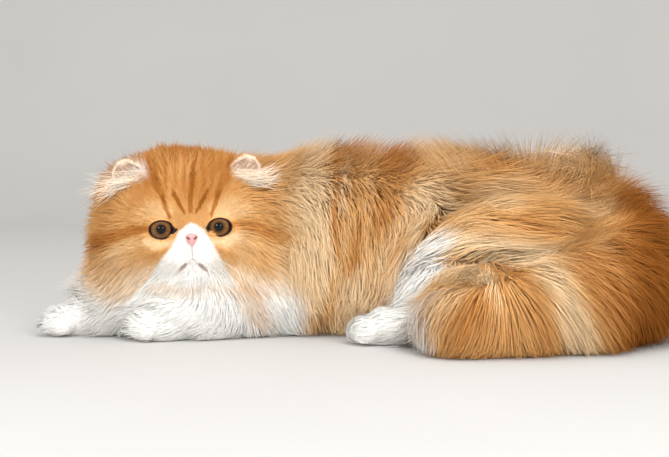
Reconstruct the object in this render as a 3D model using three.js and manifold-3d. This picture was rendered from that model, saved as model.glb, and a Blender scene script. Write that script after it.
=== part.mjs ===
// A red and white long-haired cat with a flat face, lying on the floor with its head turned to the viewer
// and its tail brought round beside the haunch. Life size, in millimetres, +Z up, -Y towards the viewer.
// Every solid is the outer form of the coat, out to the tips of the hair. The cat rests on flats at Z = 0.
import * as THREE from "three";
import { mergeVertices } from "three/addons/utils/BufferGeometryUtils.js";
import Module from "manifold-3d";

const wasm = await Module();
wasm.setup();

// Driving dimensions of the living cat.
const EYE_SPACING = 47;
const EYEBALL_DIAMETER = 22;
const EYE_LINE_HEIGHT = 91;
const HEAD_WIDTH = 170;
const CROWN_HEIGHT = 157;
const BACK_HEIGHT = 165;
const TRUNK_LENGTH = 310;
const TRUNK_WIDTH = 172;
const HAUNCH_HEIGHT = 122;
const HEAD_YAW = THREE.MathUtils.degToRad(9);
const HEAD_ROLL = THREE.MathUtils.degToRad(-2);

// The gap between neighbouring solids.
const GAP = 0.4;
const FLOOR_CUT_DEPTH = 200;

const coats = {
  red: new THREE.MeshStandardMaterial({ color: 0xc98a4b, roughness: 0.85, metalness: 0 }),
  cream: new THREE.MeshStandardMaterial({ color: 0xdcb78a, roughness: 0.85, metalness: 0 }),
  white: new THREE.MeshStandardMaterial({ color: 0xf3efe8, roughness: 0.85, metalness: 0 }),
};
const noseLeather = new THREE.MeshStandardMaterial({ color: 0xd98a8c, roughness: 0.45, metalness: 0 });
const copperEye = new THREE.MeshStandardMaterial({ color: 0x7a4a1e, roughness: 0.08, metalness: 0 });

// An ellipsoid as a field: negative inside, about the distance in millimetres near its surface.
function ellipsoid([cx, cy, cz], [rx, ry, rz], turn = 0) {
  const cos = Math.cos(turn);
  const sin = Math.sin(turn);
  return (p) => {
    const x = (p.x - cx) * cos + (p.y - cy) * sin;
    const y = (p.y - cy) * cos - (p.x - cx) * sin;
    const z = p.z - cz;
    const scaled = Math.hypot(x / rx, y / ry, z / rz);
    const slope = Math.hypot(x / rx ** 2, y / ry ** 2, z / rz ** 2);
    return slope === 0 ? -Math.min(rx, ry, rz) : (scaled * (scaled - 1)) / slope;
  };
}

// Two values run into each other over a width of soft millimetres.
function softLeast(a, b, soft) {
  const share = Math.max(soft - Math.abs(a - b), 0) / soft;
  return Math.min(a, b) - (share * share * soft) / 4;
}

const blend = (soft, ...fields) => (p) => fields.map((f) => f(p)).reduce((a, b) => softLeast(a, b, soft));
const dent = (soft, field, tool) => (p) => -softLeast(-field(p), tool(p), soft);

// How far a ray from inside a field runs before it leaves the field for good.
function distanceOut(field, start, direction, reach) {
  const at = (d) => field(start.clone().addScaledVector(direction, d));
  const step = 3;
  let far = reach;
  while (far > step && at(far - step) > 0) far -= step;
  let near = far - step;
  for (let i = 0; i < 18; i++) {
    const middle = (near + far) / 2;
    if (at(middle) > 0) far = middle;
    else near = middle;
  }
  return near;
}

// Runs through a unit sphere's vertices. place(along, around) gives each its new spot: along goes from 0 at one
// pole to 1 at the other, and around is an angle.
function reshapeSphere(columns, rows, place) {
  const ball = new THREE.SphereGeometry(1, columns, rows);
  const { position, uv } = ball.attributes;
  for (let i = 0; i < position.count; i++) {
    const along = 1 - Math.round(uv.getY(i) * rows) / rows;
    const atPole = along === 0 || along === 1;
    const around = atPole ? 0 : ((Math.round(uv.getX(i) * columns) % columns) / columns) * 2 * Math.PI;
    const spot = place(along, around);
    position.setXYZ(i, spot.x, spot.y, spot.z);
  }
  return ball;
}

// A closed skin over a field, made by rays from one point inside it. The rings gather towards the pole.
function wrap(field, centre, pole, columns, rows, gather = 1) {
  const start = new THREE.Vector3(...centre);
  const turn = new THREE.Quaternion().setFromUnitVectors(new THREE.Vector3(0, 0, 1), new THREE.Vector3(...pole));
  return reshapeSphere(columns, rows, (along, around) => {
    const tilt = Math.PI * along ** gather;
    const level = along === 0 || along === 1 ? 0 : Math.sin(tilt);
    const direction = new THREE.Vector3(level * Math.cos(around), level * Math.sin(around), Math.cos(tilt));
    direction.applyQuaternion(turn);
    return start.clone().addScaledVector(direction, distanceOut(field, start, direction, 260));
  });
}

// The frame across a level-ish curve: where it is, its left-hand side and its own upward side.
function across(curve, u) {
  const forward = curve.getTangent(u);
  const left = new THREE.Vector3(0, 0, 1).cross(forward).normalize();
  return { point: curve.getPoint(u), left, up: forward.clone().cross(left) };
}

// A closed form along a curve. section(u) gives its half sizes to the left, right, up and down there. Each end is
// a flat cap, unless the section closes to nothing at it.
function loft(curve, section, columns, rows, from = 0, to = 1) {
  return reshapeSphere(columns, rows, (along, around) => {
    const inner = THREE.MathUtils.clamp((along * rows - 1) / (rows - 2), 0, 1);
    const u = from + (to - from) * inner;
    const { point, left, up } = across(curve, u);
    if (along === 0 || along === 1) return point;
    const { toLeft, toRight, above, below } = section(u);
    const side = Math.cos(around);
    const rise = Math.sin(around);
    point.addScaledVector(left, side * (side > 0 ? toLeft : toRight));
    return point.addScaledVector(up, rise * (rise > 0 ? above : below));
  });
}

// A rounded end: 0 at the end of the curve, and 1 once it is a share "length" of the curve inside.
function roundedEnd(distanceInside, length) {
  const t = THREE.MathUtils.clamp(1 - distanceInside / length, 0, 1);
  return Math.sqrt(Math.max(1 - t * t, 0.0004));
}

const route = (...points) => new THREE.CatmullRomCurve3(points.map((p) => new THREE.Vector3(...p)));

// A smooth reading of evenly spaced values.
function along(values, u) {
  const spot = THREE.MathUtils.clamp(u, 0, 1) * (values.length - 1);
  const i = Math.min(Math.floor(spot), values.length - 2);
  const t = THREE.MathUtils.smoothstep(spot - i, 0, 1);
  return THREE.MathUtils.lerp(values[i], values[i + 1], t);
}

// A limb: round in section, with a rounded end at each side.
function limb(points, radii, flatness, columns, rows, tip = 0.16) {
  return loft(
    route(...points),
    (u) => {
      const r = along(radii, u) * roundedEnd(u, tip) * roundedEnd(1 - u, tip);
      return { toLeft: r, toRight: r, above: r * flatness, below: r * flatness };
    },
    columns,
    rows,
  );
}

// The head is built square to its own face and then turned. Its origin is midway between the corneas: x runs to
// the cat's left, y goes back into the head and z goes up.
const FACE = new THREE.Vector3(-116, 10, EYE_LINE_HEIGHT);
const headFrame = new THREE.Matrix4()
  .makeRotationFromEuler(new THREE.Euler(0, HEAD_ROLL, HEAD_YAW, "ZYX"))
  .setPosition(FACE);
const intoWorld = (geometry) => geometry.applyMatrix4(headFrame);
const crown = CROWN_HEIGHT - EYE_LINE_HEIGHT;
const cheek = HEAD_WIDTH / 2;
const eyeRadius = EYEBALL_DIAMETER / 2;
const pupilLine = EYE_SPACING / 2;

const skull = ellipsoid([0, 56, crown - 52], [78, 58, 52]);
const crownCorners = [-1, 1].map((side) => ellipsoid([side * 43, 70, crown - 39], [30, 32, 29]));
const cheekFur = [-1, 1].map((side) => ellipsoid([side * (cheek - 48), 50, -22], [48, 48, 42]));
const facePlate = ellipsoid([0, 35, -8], [56, 36, 44]);
const muzzlePads = [-1, 1].map((side) => ellipsoid([side * 12, 7, -25], [20, 17, 14], side * 0.3));
const chin = ellipsoid([0, 11, -43], [17, 15, 11]);
const bridge = ellipsoid([0, 2, -6], [8, 8, 12]);
const eyeHollows = [-1, 1].map((side) => ellipsoid([side * (pupilLine + 1), -17, 0], [20, 20, 16]));
const headField = eyeHollows.reduce(
  (field, hollow) => dent(6, field, hollow),
  blend(9, blend(24, skull, ...crownCorners, ...cheekFur, facePlate), ...muzzlePads, chin, bridge),
);

function head() {
  return intoWorld(wrap(headField, [0, 46, -4], [0, -1, 0], 32, 22, 1.3));
}

function eye(side) {
  const ball = new THREE.SphereGeometry(eyeRadius, 12, 9);
  return intoWorld(ball.translate(side * pupilLine, eyeRadius - 1, 0));
}

// The nose leather: a small rounded triangle set high between the eyes, wide above and narrow below.
function nose() {
  const leather = ellipsoid([0, -6, -6], [6.5, 5, 4]);
  const foot = ellipsoid([0, -6, -10], [3, 4.4, 5]);
  return intoWorld(wrap(blend(4, leather, foot), [0, -6, -7], [0, -1, 0], 10, 7));
}

// A small round-tipped ear: a shallow cup that opens forwards and outwards.
const earMiddle = (side) => new THREE.Vector3(side * 51, 35, 45);

function ear(side) {
  const tip = [side * 57, 34, 60];
  const base = [side * 44, 39, 30];
  const cup = limb([base, earMiddle(side).toArray(), tip], [17, 19, 18, 15], 0.55, 10, 8, 0.4);
  return solidOf(intoWorld(cup)).subtract(earHollow(side));
}

function earHollow(side) {
  const bowl = new THREE.SphereGeometry(1, 10, 6).scale(10, 9, 14).rotateY(side * 0.4).rotateZ(-side * 0.3);
  const { x, y, z } = earMiddle(side);
  return solidOf(intoWorld(bowl.translate(x + side * 1, y - 10, z + 2)));
}

const trunkTop = BACK_HEIGHT;
const trunkMiddle = [35, 105];
const sideways = TRUNK_WIDTH / 2;
const trunkField = blend(
  40,
  ellipsoid([trunkMiddle[0] - 62, 102, 72], [84, sideways - 4, 84]),
  ellipsoid([trunkMiddle[0] - 8, trunkMiddle[1], 70], [95, sideways, trunkTop - 72]),
  ellipsoid([trunkMiddle[0] + 66, trunkMiddle[1] + 2, 68], [TRUNK_LENGTH / 2 - 52, sideways - 8, trunkTop - 75]),
  ellipsoid([trunkMiddle[0] - 20, trunkMiddle[1] - 2, 18], [110, sideways + 8, 40]),
);

function trunk() {
  return wrap(trunkField, [trunkMiddle[0], trunkMiddle[1], 60], [1, 0, 0], 22, 15);
}

// The ruff of long hair that joins the head to the shoulders.
function neck() {
  const field = blend(30, ellipsoid([-84, 92, 90], [70, 66, 64]), ellipsoid([-112, 84, 60], [84, 62, 56]));
  return wrap(field, [-88, 90, 75], [0, 0, 1], 16, 10);
}

// The white bib that hangs from the throat to the floor between the forelegs.
function chest() {
  const field = blend(
    24,
    ellipsoid([-122, 62, 34], [92, 56, 46]),
    ellipsoid([-170, 70, 30], [54, 44, 40]),
    ellipsoid([-84, 58, 22], [70, 48, 38]),
  );
  return wrap(field, [-122, 62, 30], [0, 0, 1], 18, 9);
}

// Where the left limbs run, from the body to the toes, and their radii in fur.
const foreleg = {
  left: [[-44, 62, 40], [-78, 42, 28], [-112, 27, 21]],
  right: [[-136, 116, 40], [-166, 88, 28], [-190, 64, 21]],
};
const forepaw = {
  left: [[-112, 25, 15], [-138, 16, 13], [-168, 9, 9]],
  right: [[-190, 62, 15], [-213, 48, 13], [-244, 35, 9]],
};
const hindpaw = {
  left: [[128, 6, 17], [72, -4, 13], [42, -7, 12], [10, -9, 9]],
  right: [[128, 206, 17], [72, 216, 13], [42, 218, 12], [10, 218, 9]],
};

const HAUNCH_DEPTH = 48;
const haunchY = { left: 34, right: 178 };

function haunch(side) {
  const y = haunchY[side];
  const shin = side === "left" ? -6 : 6;
  const field = blend(
    30,
    ellipsoid([142, y, HAUNCH_HEIGHT - 68], [80, HAUNCH_DEPTH, 68]),
    ellipsoid([96, y + shin, 42], [48, HAUNCH_DEPTH - 14, 46]),
  );
  return wrap(field, [128, y, 46], [1, 0, 0], 18, 10);
}

// The bones of the tail come out of the rump, swing round behind the haunch and lie beside it; the long hair
// flares outwards and goes on past the last bone.
const tailRoute = route(
  [142, 105, 86],
  [190, 102, 92],
  [222, 66, 70],
  [224, 16, 48],
  [190, -22, 36],
  [140, -46, 29],
  [96, -57, 26],
  [57, -60, 24],
);
const tailHair = {
  outer: [44, 62, 78, 84, 70, 56, 47, 38],
  inner: [44, 44, 40, 38, 36, 38, 38, 34],
  above: [70, 78, 72, 70, 58, 47, 43, 36],
  below: [60, 74, 72, 58, 46, 40, 38, 34],
};

function tailSection(u) {
  const close = roundedEnd(1 - u, 0.13);
  return {
    toLeft: along(tailHair.outer, u) * close,
    toRight: along(tailHair.inner, u) * close,
    above: along(tailHair.above, u) * close,
    below: along(tailHair.below, u) * close,
  };
}

function tail(from, to, rows) {
  const slack = GAP / tailRoute.getLength();
  return loft(tailRoute, tailSection, 16, rows, from, to === 1 ? 1 : to - slack);
}

function mergedShape(geometry) {
  const bare = geometry.clone();
  bare.deleteAttribute("normal");
  bare.deleteAttribute("uv");
  return mergeVertices(bare, 1e-3);
}

function solidFrom(shape) {
  const triVerts = new Uint32Array(shape.index.array);
  const made = new wasm.Manifold(
    new wasm.Mesh({ numProp: 3, vertProperties: new Float32Array(shape.attributes.position.array), triVerts }),
  );
  if (made.volume() > 0) return made;
  for (let i = 0; i < triVerts.length; i += 3) {
    [triVerts[i + 1], triVerts[i + 2]] = [triVerts[i + 2], triVerts[i + 1]];
  }
  return new wasm.Manifold(
    new wasm.Mesh({ numProp: 3, vertProperties: new Float32Array(shape.attributes.position.array), triVerts }),
  );
}

function solidOf(geometry) {
  return solidFrom(mergedShape(geometry));
}

function geometryOf(solid) {
  const mesh = solid.getMesh();
  return new THREE.BufferGeometry()
    .setAttribute("position", new THREE.BufferAttribute(mesh.vertProperties.slice(), 3))
    .setIndex(new THREE.BufferAttribute(mesh.triVerts.slice(), 1));
}

// The same solid with its surface moved out, so that what it cuts stays clear of it.
function grown(solid, by) {
  const shape = mergeVertices(geometryOf(solid), 1e-3);
  shape.computeVertexNormals();
  const { position, normal } = shape.attributes;
  for (let i = 0; i < position.count; i++) {
    position.setXYZ(
      i,
      position.getX(i) + by * normal.getX(i),
      position.getY(i) + by * normal.getY(i),
      position.getZ(i) + by * normal.getZ(i),
    );
  }
  return solidFrom(shape);
}

const size = (solid) => solid.volume();
const largest = (solid) => solid.decompose().reduce((a, b) => (size(a) > size(b) ? a : b));
const belowFloor = solidOf(
  new THREE.BoxGeometry(1200, 1200, FLOOR_CUT_DEPTH).translate(0, 0, -FLOOR_CUT_DEPTH / 2),
);

// Name, form and coat of each part. A part is cut back from those above it in this list.
const pawGirth = [17, 21, 22, 20];
const legGirth = [34, 28, 23, 20];
const hindGirth = [24, 20, 21, 21, 18];
const parts = [
  ["eye_left", solidOf(eye(1)), copperEye],
  ["eye_right", solidOf(eye(-1)), copperEye],
  ["nose", solidOf(nose()), noseLeather],
  ["forepaw_left", solidOf(limb(forepaw.left, pawGirth, 0.72, 12, 9, 0.22)), coats.white],
  ["forepaw_right", solidOf(limb(forepaw.right, pawGirth, 0.72, 12, 9, 0.22)), coats.white],
  ["foreleg_left", solidOf(limb(foreleg.left, legGirth, 0.85, 10, 7)), coats.white],
  ["foreleg_right", solidOf(limb(foreleg.right, legGirth, 0.85, 10, 7)), coats.white],
  ["hindpaw_left", solidOf(limb(hindpaw.left, hindGirth, 0.76, 10, 11)), coats.white],
  ["hindpaw_right", solidOf(limb(hindpaw.right, hindGirth, 0.76, 10, 11)), coats.white],
  ["trunk", solidOf(trunk()), coats.red],
  ["neck", solidOf(neck()), coats.cream],
  ["chest", solidOf(chest()), coats.white],
  ["head", solidOf(head()).subtract(earHollow(1)).subtract(earHollow(-1)), coats.red],
  ["ear_left", ear(1), coats.cream],
  ["ear_right", ear(-1), coats.cream],
  ["haunch_left", solidOf(haunch("left")), coats.red],
  ["haunch_right", solidOf(haunch("right")), coats.red],
  ["tail_base", solidOf(tail(0, 0.26, 7)), coats.red],
  ["tail_middle", solidOf(tail(0.26, 0.5, 7)), coats.red],
  ["tail_front", solidOf(tail(0.5, 0.74, 6)), coats.red],
  ["tail_tip", solidOf(tail(0.74, 1, 10)), coats.red],
];

const cat = new THREE.Group();
const claimed = [belowFloor];
for (const [name, form, material] of parts) {
  const piece = largest(claimed.reduce((left, taken) => left.subtract(taken), form));
  claimed.push(grown(form, GAP));
  const geometry = geometryOf(piece);
  geometry.computeBoundingBox();
  const middle = geometry.boundingBox.getCenter(new THREE.Vector3());
  const mesh = new THREE.Mesh(geometry.translate(-middle.x, -middle.y, -middle.z), material);
  mesh.name = name;
  mesh.position.copy(middle);
  cat.add(mesh);
}

// The origin is on the floor, in the middle of the cat's whole outline.
cat.updateMatrixWorld(true);
const footprint = new THREE.Box3().setFromObject(cat).getCenter(new THREE.Vector3());
cat.position.set(-footprint.x, -footprint.y, 0);
cat.updateMatrixWorld(true);

export default cat;
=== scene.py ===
# %% [markdown]
# # A red and white persian cat, lying down
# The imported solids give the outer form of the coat, out to the tips of the hair. This lesson puts a living
# cat inside that form: one skin, wet eyes, a nose, ears, and a coat made of many thin solid tufts. It
# starts by loading the fixed frame. All the sizes below are in millimetres in the cat's own layout, whose Y
# is zero at the front of the near forepaw. They become the frame's metres only when a piece is finished.

# %% Load the frame
import math

import bmesh
import bpy
import numpy as np
from mathutils import Matrix, Vector
from mathutils.kdtree import KDTree


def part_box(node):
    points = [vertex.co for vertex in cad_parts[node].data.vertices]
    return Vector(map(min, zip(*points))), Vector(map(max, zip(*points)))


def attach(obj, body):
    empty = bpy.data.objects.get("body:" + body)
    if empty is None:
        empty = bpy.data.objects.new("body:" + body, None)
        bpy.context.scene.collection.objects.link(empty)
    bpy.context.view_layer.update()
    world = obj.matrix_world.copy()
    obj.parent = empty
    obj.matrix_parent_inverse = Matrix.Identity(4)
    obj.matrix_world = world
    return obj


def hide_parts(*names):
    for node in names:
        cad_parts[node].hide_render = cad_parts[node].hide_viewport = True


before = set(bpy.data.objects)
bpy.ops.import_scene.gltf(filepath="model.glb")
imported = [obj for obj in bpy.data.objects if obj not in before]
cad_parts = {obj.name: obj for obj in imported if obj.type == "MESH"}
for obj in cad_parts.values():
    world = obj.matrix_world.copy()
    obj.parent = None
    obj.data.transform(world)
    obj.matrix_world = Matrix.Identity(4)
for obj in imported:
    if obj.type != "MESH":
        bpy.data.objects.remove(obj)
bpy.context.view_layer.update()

rng = np.random.default_rng(20)
SIDES = {1: "left", -1: "right"}
print("the frame has", len(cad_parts), "nodes")

# %% [markdown]
# ## The layout
# The head is built square to its own face and then turned, as a sculptor would build it on a separate
# armature. Its origin lies midway between the fronts of the eyes: x runs to the cat's left, y goes back
# into the head and z goes up. The place of the left eye in the frame tells how far the frame's origin is
# from the layout's.

# %% Head axes and the step to the frame
EYE_SPACING = 47.0
EYEBALL_RADIUS = 11.0
FACE = np.array([-116.0, 10.0, 91.0])
HEAD_YAW = math.radians(9)
HEAD_ROLL = math.radians(-2)
HEAD_AXES = np.array(Matrix.Rotation(HEAD_YAW, 3, "Z") @ Matrix.Rotation(HEAD_ROLL, 3, "Y"))
EYES = {side: np.array([side * EYE_SPACING / 2, EYEBALL_RADIUS - 1, 0.0]) for side in SIDES}


def from_head(q):
    return np.asarray(q, float) @ HEAD_AXES.T + FACE


def to_head(p):
    return (np.asarray(p, float) - FACE) @ HEAD_AXES


eye_low, eye_high = (np.array(corner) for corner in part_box("eye_left"))
LAYOUT_SHIFT = (from_head(EYES[1]) - (eye_low + eye_high) * 500) * (1, 1, 0)


def to_frame(p):
    return (np.asarray(p, float) - LAYOUT_SHIFT) / 1000


print("layout to frame, mm:", LAYOUT_SHIFT.round(1))

# %% [markdown]
# ## Fields
# A body is easiest to describe as rounded masses that melt into each other. Here each mass is a field: a
# function that is negative inside the mass and roughly the distance to its surface outside. Fields join
# softly, so muscles run into each other, and one field can be scooped out of another. The same fields shape
# the skin, steer the hair and tell one region of the body from the next.


# %% Tools for fields
FAR = 1e9
LIMB_SOFTNESS = 3.0


def ellipsoid(centre, radii):
    centre, radii = np.array(centre, float), np.array(radii, float)

    def field(p):
        q = (p - centre) / radii
        reach = np.sqrt((q * q).sum(1))
        q /= radii
        return reach * (reach - 1) / np.maximum(np.sqrt((q * q).sum(1)), 1e-9)

    field.balls = [(centre, radii, np.eye(3))]
    return field


def nearest_on(p, a, b):
    """How far along the line from a to b each point's nearest place is, from 0 to 1, and the step from it."""
    along = b - a
    t = np.clip((p - a) @ along / (along @ along), 0, 1)
    return t, p - a - t[:, None] * along


def limb(points, radii):
    points, radii = np.array(points, float), np.array(radii, float)

    def field(p):
        best = np.full(len(p), FAR)
        for a, b, ra, rb in zip(points, points[1:], radii, radii[1:]):
            t, gap = nearest_on(p, a, b)
            best = soft_least(best, np.sqrt((gap * gap).sum(1)) - ra - t * (rb - ra), LIMB_SOFTNESS)
        return best

    field.balls = []
    for a, b, ra, rb in zip(points, points[1:], radii, radii[1:]):
        steps = max(2, int(np.linalg.norm(b - a) / (0.3 * min(ra, rb))))
        for t in np.linspace(0, 1, steps):
            field.balls.append((a + t * (b - a), np.full(3, ra + t * (rb - ra)), np.eye(3)))
    return field


def soft_least(a, b, soft):
    share = np.maximum(soft - np.abs(a - b), 0) / soft
    return np.minimum(a, b) - share * share * soft / 4


def melt(soft, *fields):
    def field(p):
        value = fields[0](p)
        for other in fields[1:]:
            value = soft_least(value, other(p), soft)
        return value

    field.balls = [ball for f in fields for ball in f.balls]
    return field


def scoop(soft, base, *tools):
    def field(p):
        value = base(p)
        for tool in tools:
            value = -soft_least(-value, tool(p), soft)
        return value

    field.balls = base.balls
    return field


def in_head(base):
    def field(p):
        return base(to_head(p))

    field.balls = [(from_head(c), r, HEAD_AXES @ turn) for c, r, turn in base.balls]
    return field


def slope(field, p, step=0.6):
    """The field's gradient, from samples at four corners round each point."""
    corners = np.array([(1, -1, -1), (-1, -1, 1), (-1, 1, -1), (1, 1, 1)], float)
    total = sum(k * field(p + step * k)[:, None] for k in corners)
    return total / (4 * step)


def unit(v):
    return v / np.maximum(np.linalg.norm(v, axis=-1, keepdims=True), 1e-9)


def fade(value, low, high):
    t = np.clip((value - low) / (high - low), 0, 1)
    return t * t * (3 - 2 * t)


VIEWPOINT = np.array([0.0, -1150.0, 165.0])
MIDLINE = 105.0


def as_seen(p, distance):
    """Where points appear, as X and Z, on an upright sheet at a distance in front of the viewpoint."""
    scale = distance / (p[:, 1] - VIEWPOINT[1])
    return p[:, 0] * scale, VIEWPOINT[2] + (p[:, 2] - VIEWPOINT[2]) * scale


WAVES = rng.normal(size=(24, 3))
WAVE_STARTS = rng.uniform(0, 6.28, 24)


def ripple(p, size, first=0, count=8):
    """A smooth random value from about -1 to 1 that changes over a distance of size."""
    rows = slice(first, first + count)
    waves = unit(WAVES[rows]) * np.linspace(0.7, 1.6, count)[:, None] * 2.2 / size
    return np.sin(p @ waves.T + WAVE_STARTS[rows]).sum(1) / math.sqrt(count) / 1.2


# %% [markdown]
# ## The body under the coat
# A persian is a cobby cat: a short deep trunk, heavy shoulders, a thick neck, short legs and a massive
# round head with the nose set between the eyes. Under the coat the trunk is only some 115 mm wide. It lies
# on its brisket with the elbows tucked in, the near hind foot forward under the flank and the tail brought
# round the haunch.

# %% Masses of the trunk and limbs
trunk = melt(
    28,
    ellipsoid((-22, 104, 70), (86, 57, 66)),
    ellipsoid((62, 106, 66), (92, 61, 62)),
    ellipsoid((136, 106, 70), (56, 52, 56)),
)
neck = melt(
    22,
    limb([(-84, 94, 84), (-100, 74, 84)], [46, 44]),
    ellipsoid((-72, 94, 62), (56, 58, 56)),
    ellipsoid((-114, 58, 44), (60, 42, 37)),
    ellipsoid((-156, 76, 34), (38, 34, 29)),
)
FORELEGS = {
    1: [(-44, 62, 40), (-78, 42, 28), (-112, 27, 20)],
    -1: [(-136, 116, 40), (-166, 88, 28), (-190, 64, 20)],
}
FOREPAWS = {
    1: [(-112, 26, 16), (-138, 16, 13.5), (-153, 12, 11.5)],
    -1: [(-190, 62, 16), (-213, 48, 13.5), (-228, 41, 11.5)],
}
HINDPAWS = {
    1: [(128, 6, 18), (72, -4, 14), (42, -7, 13), (26, -8, 11.5)],
    -1: [(128, 206, 18), (72, 216, 14), (42, 218, 13), (26, 218, 11.5)],
}


def paw(points, radii):
    """A limb that ends in four round toes, side by side."""
    heel, tip = np.array(points[-2], float), np.array(points[-1], float)
    forward = unit((tip - heel) * (1, 1, 0))
    sideways = np.cross((0, 0, 1), forward)
    toes = []
    for place, reach in ((-12.5, 1.5), (-4.3, 6.5), (4.3, 6.5), (12.5, 1.5)):
        root = tip + place * 0.8 * sideways - (0, 0, 0.5)
        toes.append(limb([root, root + reach * forward + place * 0.1 * sideways - (0, 0, 1.5)], [8.6, 7.8]))
    return melt(4, limb(points, radii), *toes)


forelegs = {side: limb(FORELEGS[side], [24, 17, 14]) for side in SIDES}
forepaws = {side: paw(FOREPAWS[side], [15, 15, 11]) for side in SIDES}
hindpaws = {side: paw(HINDPAWS[side], [17, 14, 14.5, 10.5]) for side in SIDES}
haunches = {
    1: melt(
        16,
        ellipsoid((138, 46, 52), (62, 42, 52)),
        ellipsoid((98, 34, 42), (38, 24, 36)),
        ellipsoid((180, 58, 76), (36, 34, 30)),
        ellipsoid((142, -8, 46), (46, 26, 22)),
    ),
    -1: melt(16, ellipsoid((138, 166, 52), (62, 42, 52)), ellipsoid((98, 176, 42), (38, 24, 36))),
}
TAIL = [
    (142, 105, 86),
    (190, 102, 92),
    (222, 66, 70),
    (224, 16, 48),
    (190, -22, 36),
    (140, -46, 29),
    (100, -56, 27),
]
tail = limb(TAIL, [30, 28, 25, 24, 22, 20, 15])
print("tail along its bones, mm:", sum(math.dist(a, b) for a, b in zip(TAIL, TAIL[1:])))

# %% [markdown]
# ## The head
# The skull is a near ball. The forehead drops straight to a deep stop, the nose sits between the eyes, and
# the two whisker pads and a small chin stand a little in front of it. The eyeballs are 22 mm across, and
# the lids wrap round them. The opening between the lids is an oval seen from the front, and the skin inside
# it is pushed back into the middle of the ball, so the lids keep a clean edge.

# %% Masses of the head
skull = ellipsoid((0, 55, 8), (56, 50, 46))
jowls = [ellipsoid((s * 24, 46, -18), (36, 38, 32)) for s in SIDES]
brow = ellipsoid((0, 36, 2), (46, 33, 34))
pads = [limb([(s * 4, 3, -12), (s * 9, 5, -23), (s * 15, 11, -33)], [8, 11, 9.5]) for s in SIDES]
chin = ellipsoid((0, 6.5, -34.5), (9, 11, 8))
bridge = ellipsoid((0, 4, -6), (7.5, 8, 12))
under_eyes = [ellipsoid((s * 22, 16, -12), (15, 14, 12)) for s in SIDES]
lids = [ellipsoid(EYES[s] + (0, 0.4, 0), (12.8, 12.2, 12.6)) for s in SIDES]
LID_OPENING = (9.9, 7.4)
BACK_OF_EYES = 24.0
nose_seat = ellipsoid((0, -8, -8), (5.2, 5.5, 5.6))
LIPS = [(0, -24), (3.5, -26.3), (7.2, -30.5), (10.5, -34.5), (15, -37)]
lip_line = limb([(0, -7, -13), (0, -8, -24), (0, -7, -26)], [0.8, 1.0, 1.0])
LIP_RADII = [1.2, 1.6, 1.8, 1.8, 1.2]
mouth_arms = [limb([(s * x, -7 + 0.03 * x * x, z) for x, z in LIPS], LIP_RADII) for s in SIDES]

head_form = melt(16, skull, *jowls, brow)
head_form = melt(5, head_form, *under_eyes, *pads, chin, bridge)
head_form = melt(5, head_form, *lids)
head_form = scoop(1.6, head_form, lip_line, *mouth_arms, nose_seat)
head = in_head(head_form)


def past_oval(q, x, z, wide, high, scale):
    """How far a point in the head's axes is outside an oval round x and z, seen from the front, for both eyes.

    Points behind the eyes count as far outside.
    """
    size = np.hypot((np.abs(q[:, 0]) - x) / wide, (q[:, 2] - z) / high)
    return (size - 1) * scale + 99 * (q[:, 1] > BACK_OF_EYES)


def past_lids(q):
    return past_oval(q, EYE_SPACING / 2, 0.2, *LID_OPENING, 8.5)


def past_corner(q, wide, high):
    """The same for the small dark point at the eye's inner corner."""
    return past_oval(q, EYE_SPACING / 2 - 11.0, -0.9, wide, high, high)


def past_lips(q):
    """How far a point is from the cleft and the two arms of the mouth."""
    return np.minimum(lip_line(q), np.minimum(mouth_arms[0](q), mouth_arms[1](q)))


def nose_gap(q):
    """How far a point in the head's axes is from the nose."""
    return np.linalg.norm(q - (0, -6, -8), axis=1)


skin_form = melt(
    7,
    melt(14, melt(22, trunk, neck, *haunches.values()), *forelegs.values(), tail),
    *forepaws.values(),
    *hindpaws.values(),
)
skin_form = melt(10, skin_form, head)
print("the skin is made of", len(skin_form.balls), "round masses")

# %% [markdown]
# ## One skin
# The masses are set out as balls in one bmesh and fused by a voxel remesh, which gives even quads and no
# seams. Each point is then walked down the field's slope until it lies on the smooth form. The face gets
# two more levels of quads first, because the lids and lips are only a millimetre or two thick.

# %% Fuse the masses
VOXEL = 3.0


def new_object(name, mesh, material=None):
    obj = bpy.data.objects.new(name, mesh)
    bpy.context.scene.collection.objects.link(obj)
    if material:
        mesh.materials.append(material)
    return obj


def mesh_from(bm, name):
    mesh = bpy.data.meshes.new(name)
    bm.to_mesh(mesh)
    bm.free()
    return mesh


def shade_smooth(mesh):
    mesh.polygons.foreach_set("use_smooth", np.ones(len(mesh.polygons), bool))


def points_of(mesh):
    flat = np.empty(len(mesh.vertices) * 3, np.float32)
    mesh.vertices.foreach_get("co", flat)
    return flat.reshape(-1, 3).astype(float)


def set_points(mesh, p):
    mesh.vertices.foreach_set("co", np.ascontiguousarray(p, np.float32).ravel())
    mesh.update()


bm = bmesh.new()
for centre, radii, turn in skin_form.balls:
    place = Matrix.Translation(Vector(centre)) @ Matrix(turn.tolist()).to_4x4() @ Matrix.Diagonal((*radii, 1))
    bmesh.ops.create_icosphere(bm, subdivisions=3, radius=1, matrix=place)
blocks_object = new_object("blocks", mesh_from(bm, "blocks"))
remesh = blocks_object.modifiers.new("fuse", "REMESH")
remesh.mode = "VOXEL"
remesh.voxel_size = VOXEL
graph = bpy.context.evaluated_depsgraph_get()
skin_mesh = bpy.data.meshes.new_from_object(blocks_object.evaluated_get(graph))
bpy.data.objects.remove(blocks_object)
print("fused into", len(skin_mesh.polygons), "quads")


# %% Settle the points on the field
def settle(p, field, steps=3, most=2.0):
    """Walks points along the field's slope until they lie on its surface."""
    for _ in range(steps):
        g = slope(field, p)
        move = field(p) / np.maximum((g * g).sum(1), 0.05)
        p = p - np.clip(move, -most, most)[:, None] * g
    return p


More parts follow.
